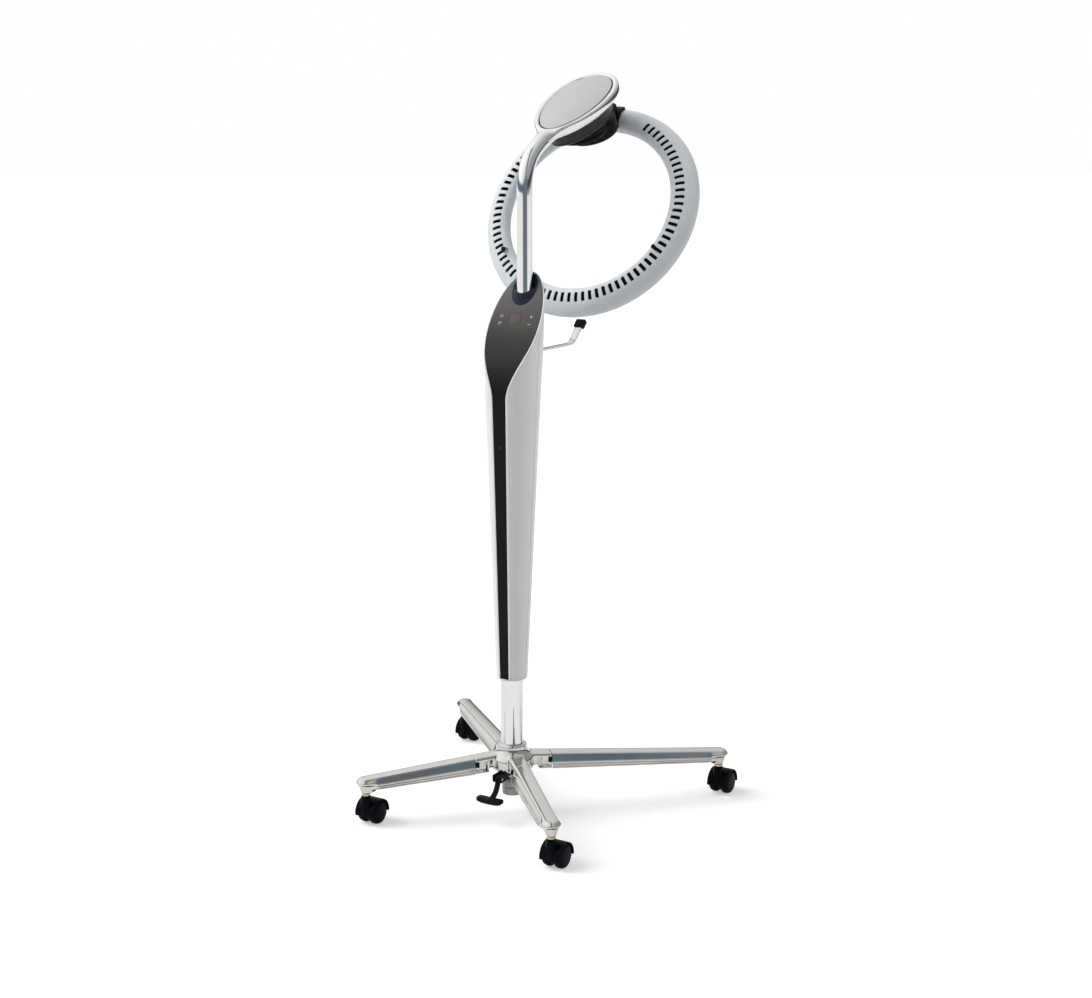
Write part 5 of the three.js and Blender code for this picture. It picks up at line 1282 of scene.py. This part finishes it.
# Faces inside the back shell get the same near-black painted shade.
painted_dark = 0
back.data.materials.append(painted_shade_black)
ring_back_inverse = (TO_FRAME @ RING).inverted()
for face in back.data.polygons:
    p = ring_back_inverse @ face.center
    across = (math.hypot(p.x, p.y) - RING_RADIUS) * math.cos(SLANT) - p.z * math.sin(SLANT)
    out = (math.hypot(p.x, p.y) - RING_RADIUS) * math.sin(SLANT) + p.z * math.cos(SLANT)
    if math.hypot(across / 29.2, out / 19.2) < 1:
        face.material_index = 1
        painted_dark += 1
print("lined faces", painted_dark)

# %% [markdown]
# Two small studs stand on the back of the ring, black with a gilt foot. They are turned, and set
# square on the band. The rotor under the housing carries a plate, a beam and a saddle that grips the
# ring. The saddle is the band's own shape, made thicker and cut to length, so it fits it all over.

# %% Studs
def stud_place(side):
    r, z = band_point(-25, 0)
    return RING @ Matrix.Rotation(rad(120 * side), 4, "Z") @ Matrix.Translation((r, 0, z)) @ Matrix.Rotation(SLANT, 4, "Y")


surface = BAND_THICK * math.sqrt(1 - (25 / BAND_WIDTH) ** 2)
foot_line = eased_corners([(0, surface - 2.5), (4.4, surface - 2.5), (4.4, surface + 3.2, 0.8),
                           (3.4, surface + 4.0, 0.4), (0, surface + 4.0)], 3)
knob_line = eased_corners([(0, surface + 4.0), (4.4, surface + 4.0, 0.5), (4.8, surface + 8, 1),
                           (4.2, surface + 11.6, 1.6), (0, surface + 12.2)], 4)
for side, word in ((1, "left"), (-1, "right")):
    fit(turned("stud_foot_" + word, foot_line, 40, stud_place(side)), gilt, "heater_ring", "brass")
    fit(turned("stud_" + word, knob_line, 40, stud_place(side)), moulded_black, "heater_ring", "black_plastic",
        "ring_sensor_" + word)
print("stud foot at", round(surface, 1))

# %% Rotor and arm
rotor = turned("rotor", eased_corners([(8.3, -59.3), (54, -59.3, 3), (54, -50, 1), (53.2, -49.4, 0.5), (53.2, -48, 0.5),
                                       (54, -47.4, 0.6), (54, -44.3, 1.2), (8.3, -44.3)], 4), 128, TURN)
fit(rotor, moulded_black, "heater_ring", "black_plastic", "rotor_drum", smooth=34)

ARM_TOP = -59.6
ring_in_head = TURN.inverted() @ RING
arm_seat = ring_in_head @ Vector((RING_RADIUS, 0, 0))


def band_envelope(gap):
    line = band_oval(-gap, 0, 360, 64)[:-1]
    return turned("envelope", line, RING_STEPS, RING)


def arm_block(x0, x1, half, z0, z1):
    corners = ((x0, -half), (x1, -half), (x1, half), (x0, half))
    return skinned("block", [[(x, y, z) for x, y in corners] for z in (z0, z1)], TURN)


arm = turned("ring_arm_body", eased_corners([(0, -67.6), (54, -67.6, 3), (54, ARM_TOP, 1), (0, ARM_TOP)], 3), 128, TURN)
drum_line = eased_corners([(0, -93), (57, -93, 9), (57, ARM_TOP, 3), (0, ARM_TOP)], 6)
drum = turned("drum", drum_line, 128, TURN @ Matrix.Translation((44, 0, 0)))
beam = arm_block(60, arm_seat.x, 33, arm_seat.z + 4, ARM_TOP)
ease(beam, 7, 5, 60)
carve(arm, drum, "UNION")
carve(arm, beam, "UNION")
saddle = carve(band_envelope(FIT + 6), arm_block(40, arm_seat.x + 20, 40, arm_seat.z, ARM_TOP), "INTERSECT")
ease(saddle, 1.2, 3, 50)
carve(arm, saddle, "UNION")
carve(arm, band_envelope(FIT))
fit(arm, moulded_black, "heater_ring", "black_plastic", "ring_arm", smooth=34)
print("arm faces", len(arm.data.polygons), "seat", [round(v, 1) for v in arm_seat])

# %% [markdown]
# ## Ring rest and power inlet
# A flat chromed bar comes out of the column's back and bends up under the parked ring, with a black
# rubber tip. Its path has one bend with a real radius, as bar stock has. The inlet is a moulded block
# with an open mouth and three pins, on the column's back.

# %% Ring rest
REST_ANGLE = rad(44)
rest_up = Vector((math.cos(REST_ANGLE), 0, math.sin(REST_ANGLE)))
elbow = Vector((246, 0, 989))
rest_start = MAST_X - 16.5 - 0.6 - 3 + FIT - FIT
rest_end = elbow + rest_up * 62


def rest_path():
    path = [Vector((rest_start + 2, 0, 961)), Vector((rest_start + 2, 0, 980))]
    for i in range(7):
        a = rad(90 * i / 6)
        path.append(Vector((rest_start + 2 + 6 * (1 - math.cos(a)), 0, 983 + 6 * math.sin(a))))
    reach = 14
    low, high = elbow - Vector((reach, 0, 0)), elbow + rest_up * reach
    path.append(Vector((100, 0, 989)))
    for i in range(13):
        t = i / 12
        path.append(low * (1 - t) ** 2 + elbow * 2 * t * (1 - t) + high * t * t)
    return path + [rest_end]


stock = eased_corners([(-2, -8, 0.7), (2, -8, 0.7), (2, 8, 0.7), (-2, 8, 0.7)], 3)
rest = skinned("rest_bar", tube_rings(rest_path(), lambda i: stock))
# The rest bar's darker chrome is partly painted shade.
fit(rest, warm_chrome_painted_shade, "column", "chrome", "ring_rest_bar", smooth=40)

TIP = Matrix.Translation(rest_end) @ Matrix.Rotation(-REST_ANGLE, 4, "Y")
tip_rings = []
for x, grow in ((-16, -0.8), (-15.6, -0.2), (-14.8, 0), (-6, 0), (1, 0), (2.6, -0.3), (3.6, -1.0), (4, -2.0)):
    y, z = 11.5 + grow, 5.5 + grow
    tip_rings.append([(x, a, b) for a, b in eased_corners([(-y, -z, 2), (y, -z, 2), (y, z, 2), (-y, z, 2)], 4)])
tip = skinned("rest_tip", tip_rings, TIP)
slot_rings = [[(x, a, b) for a, b in ((-8.3, -2.3), (8.3, -2.3), (8.3, 2.3), (-8.3, 2.3))] for x in (-17, 0.3)]
carve(tip, skinned("tip_slot", slot_rings, TIP))
fit(tip, rubber_and_painted_shade_black, "column", "rubber", "ring_rest_tip", smooth=40)
print("rest bar faces", len(rest.data.polygons))

# %% Power inlet
mouth_floor = inlet_back - 3.5 + 4
face = inlet_back + 16
inlet = prism("inlet_block", eased_corners([(-15, 628, 4), (15, 628, 4), (15, 652, 4), (-15, 652, 4)], 5), "X",
              inlet_back - 3.5, face)
carve(inlet, prism("inlet_mouth", eased_corners([(-11, 632, 1.5), (11, 632, 1.5), (11, 642.5, 1), (6.5, 648, 1), (-6.5, 648, 1),
                                                 (-11, 642.5, 1)], 4), "X", mouth_floor, face + 5))
ease(inlet, 0.8, 2, 55)
fit(inlet, inlet_black, "column", "black_plastic", "power_inlet", smooth=34)
pins = [bar(-1 + y, 638 - 2 + z, 1 + y, 638 + 2 + z) for y, z in ((-7, 0), (7, 0), (0, 4.5))]
pin_points, pin_faces = [], []
for outline in pins:
    first = len(pin_points)
    for x, shrink in ((mouth_floor - 1, 1.0), (face - 4, 1.0), (face - 3, 0.7)):
        cy, cz = sum(p[0] for p in outline) / 4, sum(p[1] for p in outline) / 4
        pin_points += [(x, cy + (y - cy) * shrink, cz + (z - cz) * shrink) for y, z in outline]
    for ring in (0, 4):
        for k in range(4):
            m = (k + 1) % 4
            pin_faces.append((first + ring + k, first + ring + m, first + ring + 4 + m, first + ring + 4 + k))
    pin_faces += [tuple(range(first, first + 4)), tuple(range(first + 8, first + 12))]
fit(drawn("inlet_pins", pin_points, pin_faces), gilt, "column", "brass", smooth=30)
print("inlet face at", round(face, 1))

# %% [markdown]
# ## Inside pieces
# The gas spring, guide sleeve, spine, clamp, board, motor and bearings keep the shapes of the solid
# model, because they only show through gaps or when the column is high. They get finishes of their
# own all the same, so that every piece is dressed.

# %% Finishes for the inside pieces
INSIDE = {
    "gas_spring_cylinder": moulded_black, "gas_spring_rod": chrome, "guide_sleeve": plain_steel,
    "column_spine": plain_steel, "mast_clamp": plain_steel, "control_board": board_green,
    "gear_motor": plain_steel, "head_bearing": plain_steel, "drive_shaft": plain_steel, "pedal_pin": plain_steel,
}
for spot in LEGS:
    INSIDE["caster_axle_" + spot] = plain_steel
for node, dress in INSIDE.items():
    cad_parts[node].material_slots[0].material = dress
print("inside pieces", len(INSIDE))

# %% [markdown]
# ## Floor, light and camera
# The machine stands on a wide white floor in a white room. The light is a broad sky that is brighter
# to the left and behind, one soft sun from the left and a weak one from the right. Suns light the
# floor evenly, so it stays white up to the horizon and still takes the machine's shadow. Chrome needs
# something dark to show its shape, so a dark card stands behind the camera, seen only in metal.

# %% Floor
def shader_of(name):
    """An empty material with its nodes, links and output."""
    made = bpy.data.materials.new(name)
    made.use_nodes = True
    made.node_tree.nodes.clear()
    return made, made.node_tree.nodes, made.node_tree.links, made.node_tree.nodes.new("ShaderNodeOutputMaterial")


def stage_plane(name, corners, material):
    mesh = bpy.data.meshes.new(name)
    mesh.from_pydata(corners, [], [(0, 1, 2, 3)])
    mesh.materials.append(material)
    uv = mesh.uv_layers.new(name="UVMap")
    for loop, spot in zip(uv.data, ((0, 0), (1, 0), (1, 1), (0, 1))):
        loop.uv = spot
    thing = bpy.data.objects.new(name, mesh)
    bpy.context.scene.collection.objects.link(thing)
    return thing


def maths(nodes, links, operation, *values):
    node = nodes.new("ShaderNodeMath")
    node.operation = operation
    for slot, value in zip(node.inputs, values):
        if isinstance(value, bpy.types.NodeSocket):
            links.new(value, slot)
        else:
            slot.default_value = value
    return node.outputs[0]


def floor_finish():
    made, nodes, links, out = shader_of("white_floor")
    matt = nodes.new("ShaderNodeBsdfDiffuse")
    matt.inputs["Color"].default_value = (0.66, 0.66, 0.66, 1)
    glow = nodes.new("ShaderNodeEmission")
    path = nodes.new("ShaderNodeLightPath")
    seen = maths(nodes, links, "MAXIMUM", path.outputs["Is Camera Ray"], path.outputs["Is Transmission Ray"])
    mirrored = maths(nodes, links, "MULTIPLY", path.outputs["Is Glossy Ray"], 0.19)
    links.new(maths(nodes, links, "MULTIPLY_ADD", seen, 0.44, mirrored), glow.inputs["Strength"])
    both = nodes.new("ShaderNodeAddShader")
    links.new(matt.outputs[0], both.inputs[0])
    links.new(glow.outputs[0], both.inputs[1])
    links.new(both.outputs[0], out.inputs["Surface"])
    return made


reach = 60
floor = stage_plane("floor", [(-reach, -reach, 0), (reach, -reach, 0), (reach, reach, 0), (-reach, reach, 0)],
                    floor_finish())
print("floor", reach * 2, "m wide")

# %% Sky and suns
CAMERA_SIDE, LEFT_SIDE = 212, 122


def toward(azimuth, height):
    """A direction from its azimuth and height in degrees."""
    flat = math.cos(rad(height))
    return Vector((flat * math.cos(rad(azimuth)), flat * math.sin(rad(azimuth)), math.sin(rad(height))))


world = bpy.data.worlds.new("studio")
bpy.context.scene.world = world
world.use_nodes = True
nodes, links = world.node_tree.nodes, world.node_tree.links
nodes.clear()
where = nodes.new("ShaderNodeTexCoord")
side = nodes.new("ShaderNodeVectorMath")
side.operation = "DOT_PRODUCT"
side.inputs[1].default_value = toward(LEFT_SIDE - 15, 30)
links.new(where.outputs["Generated"], side.inputs[0])
spread = nodes.new("ShaderNodeMapRange")
spread.inputs["From Min"].default_value = -0.4
spread.inputs["From Max"].default_value = 0.95
spread.inputs["To Min"].default_value = 0.34
spread.inputs["To Max"].default_value = 1.15
links.new(side.outputs["Value"], spread.inputs["Value"])
away, aside = toward(CAMERA_SIDE + 4, 0), toward(CAMERA_SIDE + 94, 0)


def ramp_of(value, clear, full):
    """A soft step from 0 to 1 between two values."""
    step = nodes.new("ShaderNodeMapRange")
    step.interpolation_type = "SMOOTHSTEP"
    step.inputs["From Min"].default_value = clear
    step.inputs["From Max"].default_value = full
    links.new(value, step.inputs["Value"])
    return step.outputs[0]


def along(direction):
    node = nodes.new("ShaderNodeVectorMath")
    node.operation = "DOT_PRODUCT"
    node.inputs[1].default_value = direction
    links.new(where.outputs["Generated"], node.inputs[0])
    return node.outputs["Value"]


gap = maths(nodes, links, "MULTIPLY", ramp_of(maths(nodes, links, "ABSOLUTE", along(aside)), 0.17, 0.05),
            ramp_of(along(away), -0.10, 0.15))
height = along((0, 0, 1))
horizon = maths(nodes, links, "MULTIPLY", ramp_of(height, 0.0, 0.04), ramp_of(height, 0.20, 0.11))
dark = maths(nodes, links, "MAXIMUM", gap, horizon)
tint = nodes.new("ShaderNodeMix")
tint.data_type = "RGBA"
tint.inputs[6].default_value = (0.985, 0.992, 1, 1)
tint.inputs[7].default_value = (0.62, 0.86, 1, 1)
links.new(horizon, tint.inputs[0])
sky = nodes.new("ShaderNodeBackground")
links.new(tint.outputs[2], sky.inputs["Color"])
path = nodes.new("ShaderNodeLightPath")
matt_share = maths(nodes, links, "MULTIPLY", path.outputs["Is Diffuse Ray"], -0.60)
gap_share = maths(nodes, links, "MULTIPLY", maths(nodes, links, "MULTIPLY", dark, path.outputs["Is Glossy Ray"]), -0.80)
shares = maths(nodes, links, "MULTIPLY", maths(nodes, links, "ADD", matt_share, 1.0), maths(nodes, links, "ADD", gap_share, 1.0))
links.new(maths(nodes, links, "MULTIPLY", spread.outputs[0], shares), sky.inputs["Strength"])
white = nodes.new("ShaderNodeBackground")
white.inputs["Color"].default_value = (1, 1, 1, 1)
seen = maths(nodes, links, "MAXIMUM", path.outputs["Is Camera Ray"], path.outputs["Is Transmission Ray"])
pick = nodes.new("ShaderNodeMixShader")
links.new(seen, pick.inputs[0])
links.new(sky.outputs[0], pick.inputs[1])
links.new(white.outputs[0], pick.inputs[2])
links.new(pick.outputs[0], nodes.new("ShaderNodeOutputWorld").inputs["Surface"])


def sun(name, azimuth, height, strength, width):
    light = bpy.data.lights.new(name, "SUN")
    light.energy = strength
    light.angle = rad(width)
    thing = bpy.data.objects.new(name, light)
    thing.rotation_euler = (-toward(azimuth, height)).to_track_quat("-Z", "Y").to_euler()
    thing.visible_glossy = False
    bpy.context.scene.collection.objects.link(thing)


sun("key", LEFT_SIDE, 46, 2.55, 40)
sun("fill", LEFT_SIDE + 180, 30, 1.05, 50)
print("suns", len(bpy.data.lights))

# %% Camera
PHOTO_WIDTH, FOCAL = 1092, 1800
TURN_OFF, PITCH_DOWN, YAW = rad(58), rad(11.9), rad(1.13)


def to_machine(x, y, z):
    return Vector((math.cos(TURN_OFF) * x + math.sin(TURN_OFF) * y, -math.sin(TURN_OFF) * x + math.cos(TURN_OFF) * y, z))


ahead = Vector((math.sin(YAW), math.cos(YAW), 0))
right = to_machine(math.cos(YAW), -math.sin(YAW), 0)
forward = to_machine(*(ahead * math.cos(PITCH_DOWN) - Vector((0, 0, math.sin(PITCH_DOWN)))))
upward = to_machine(*(ahead * math.sin(PITCH_DOWN) + Vector((0, 0, math.cos(PITCH_DOWN)))))
eye = TO_FRAME @ to_machine(0, -3661, 1462)
lens = bpy.data.cameras.new("camera")
lens.sensor_fit = "HORIZONTAL"
lens.sensor_width = 36
lens.lens = 36 * FOCAL / PHOTO_WIDTH
lens.clip_end = 50
camera = bpy.data.objects.new("camera", lens)
camera.matrix_world = Matrix((
    (right.x, upward.x, -forward.x, eye.x),
    (right.y, upward.y, -forward.y, eye.y),
    (right.z, upward.z, -forward.z, eye.z),
    (0, 0, 0, 1),
))
bpy.context.scene.collection.objects.link(camera)
bpy.context.scene.camera = camera
print("camera at", [round(v, 3) for v in eye], "lens", round(lens.lens, 2))

# %% Dark card behind the camera
def card_finish():
    """Dark, warm in the middle and bluish to the right, fading out at the sides and the top."""
    made, nodes, links, out = shader_of("dark_card")
    where = nodes.new("ShaderNodeTexCoord")
    apart = nodes.new("ShaderNodeSeparateXYZ")
    links.new(where.outputs["UV"], apart.inputs[0])
    tone = nodes.new("ShaderNodeValToRGB")
    tone.color_ramp.elements[0].position = 0.54
    tone.color_ramp.elements[0].color = (0.175, 0.165, 0.155, 1)
    tone.color_ramp.elements[1].position = 0.66
    tone.color_ramp.elements[1].color = (0.130, 0.200, 0.245, 1)
    links.new(apart.outputs["X"], tone.inputs["Fac"])
    dark = nodes.new("ShaderNodeEmission")
    links.new(tone.outputs["Color"], dark.inputs["Color"])
    aside = maths(nodes, links, "ABSOLUTE", maths(nodes, links, "SUBTRACT", apart.outputs["X"], 0.5))
    fades = []
    for value, clear, full in ((aside, 0.5, 0.25), (apart.outputs["Y"], 1.0, 0.62)):
        fade = nodes.new("ShaderNodeMapRange")
        fade.interpolation_type = "SMOOTHSTEP"
        fade.inputs["From Min"].default_value = clear
        fade.inputs["From Max"].default_value = full
        links.new(value, fade.inputs["Value"])
        fades.append(fade.outputs[0])
    pick = nodes.new("ShaderNodeMixShader")
    links.new(maths(nodes, links, "MULTIPLY", *fades), pick.inputs[0])
    links.new(nodes.new("ShaderNodeBsdfTransparent").outputs[0], pick.inputs[1])
    links.new(dark.outputs[0], pick.inputs[2])
    links.new(pick.outputs[0], out.inputs["Surface"])
    return made


CARD_FAR, CARD_HALF, CARD_HIGH = 4.9, 3.9, 3.2
up = Vector((0, 0, CARD_HIGH))
low_left, low_right = away * CARD_FAR - aside * CARD_HALF, away * CARD_FAR + aside * CARD_HALF
card = stage_plane("dark_card", [low_left, low_right, low_right + up, low_left + up], card_finish())
card.visible_camera = False
card.visible_diffuse = False
card.visible_shadow = False
card.visible_transmission = False
bpy.context.scene.view_settings.view_transform = "Standard"
print("card", CARD_HALF * 2, "m wide")
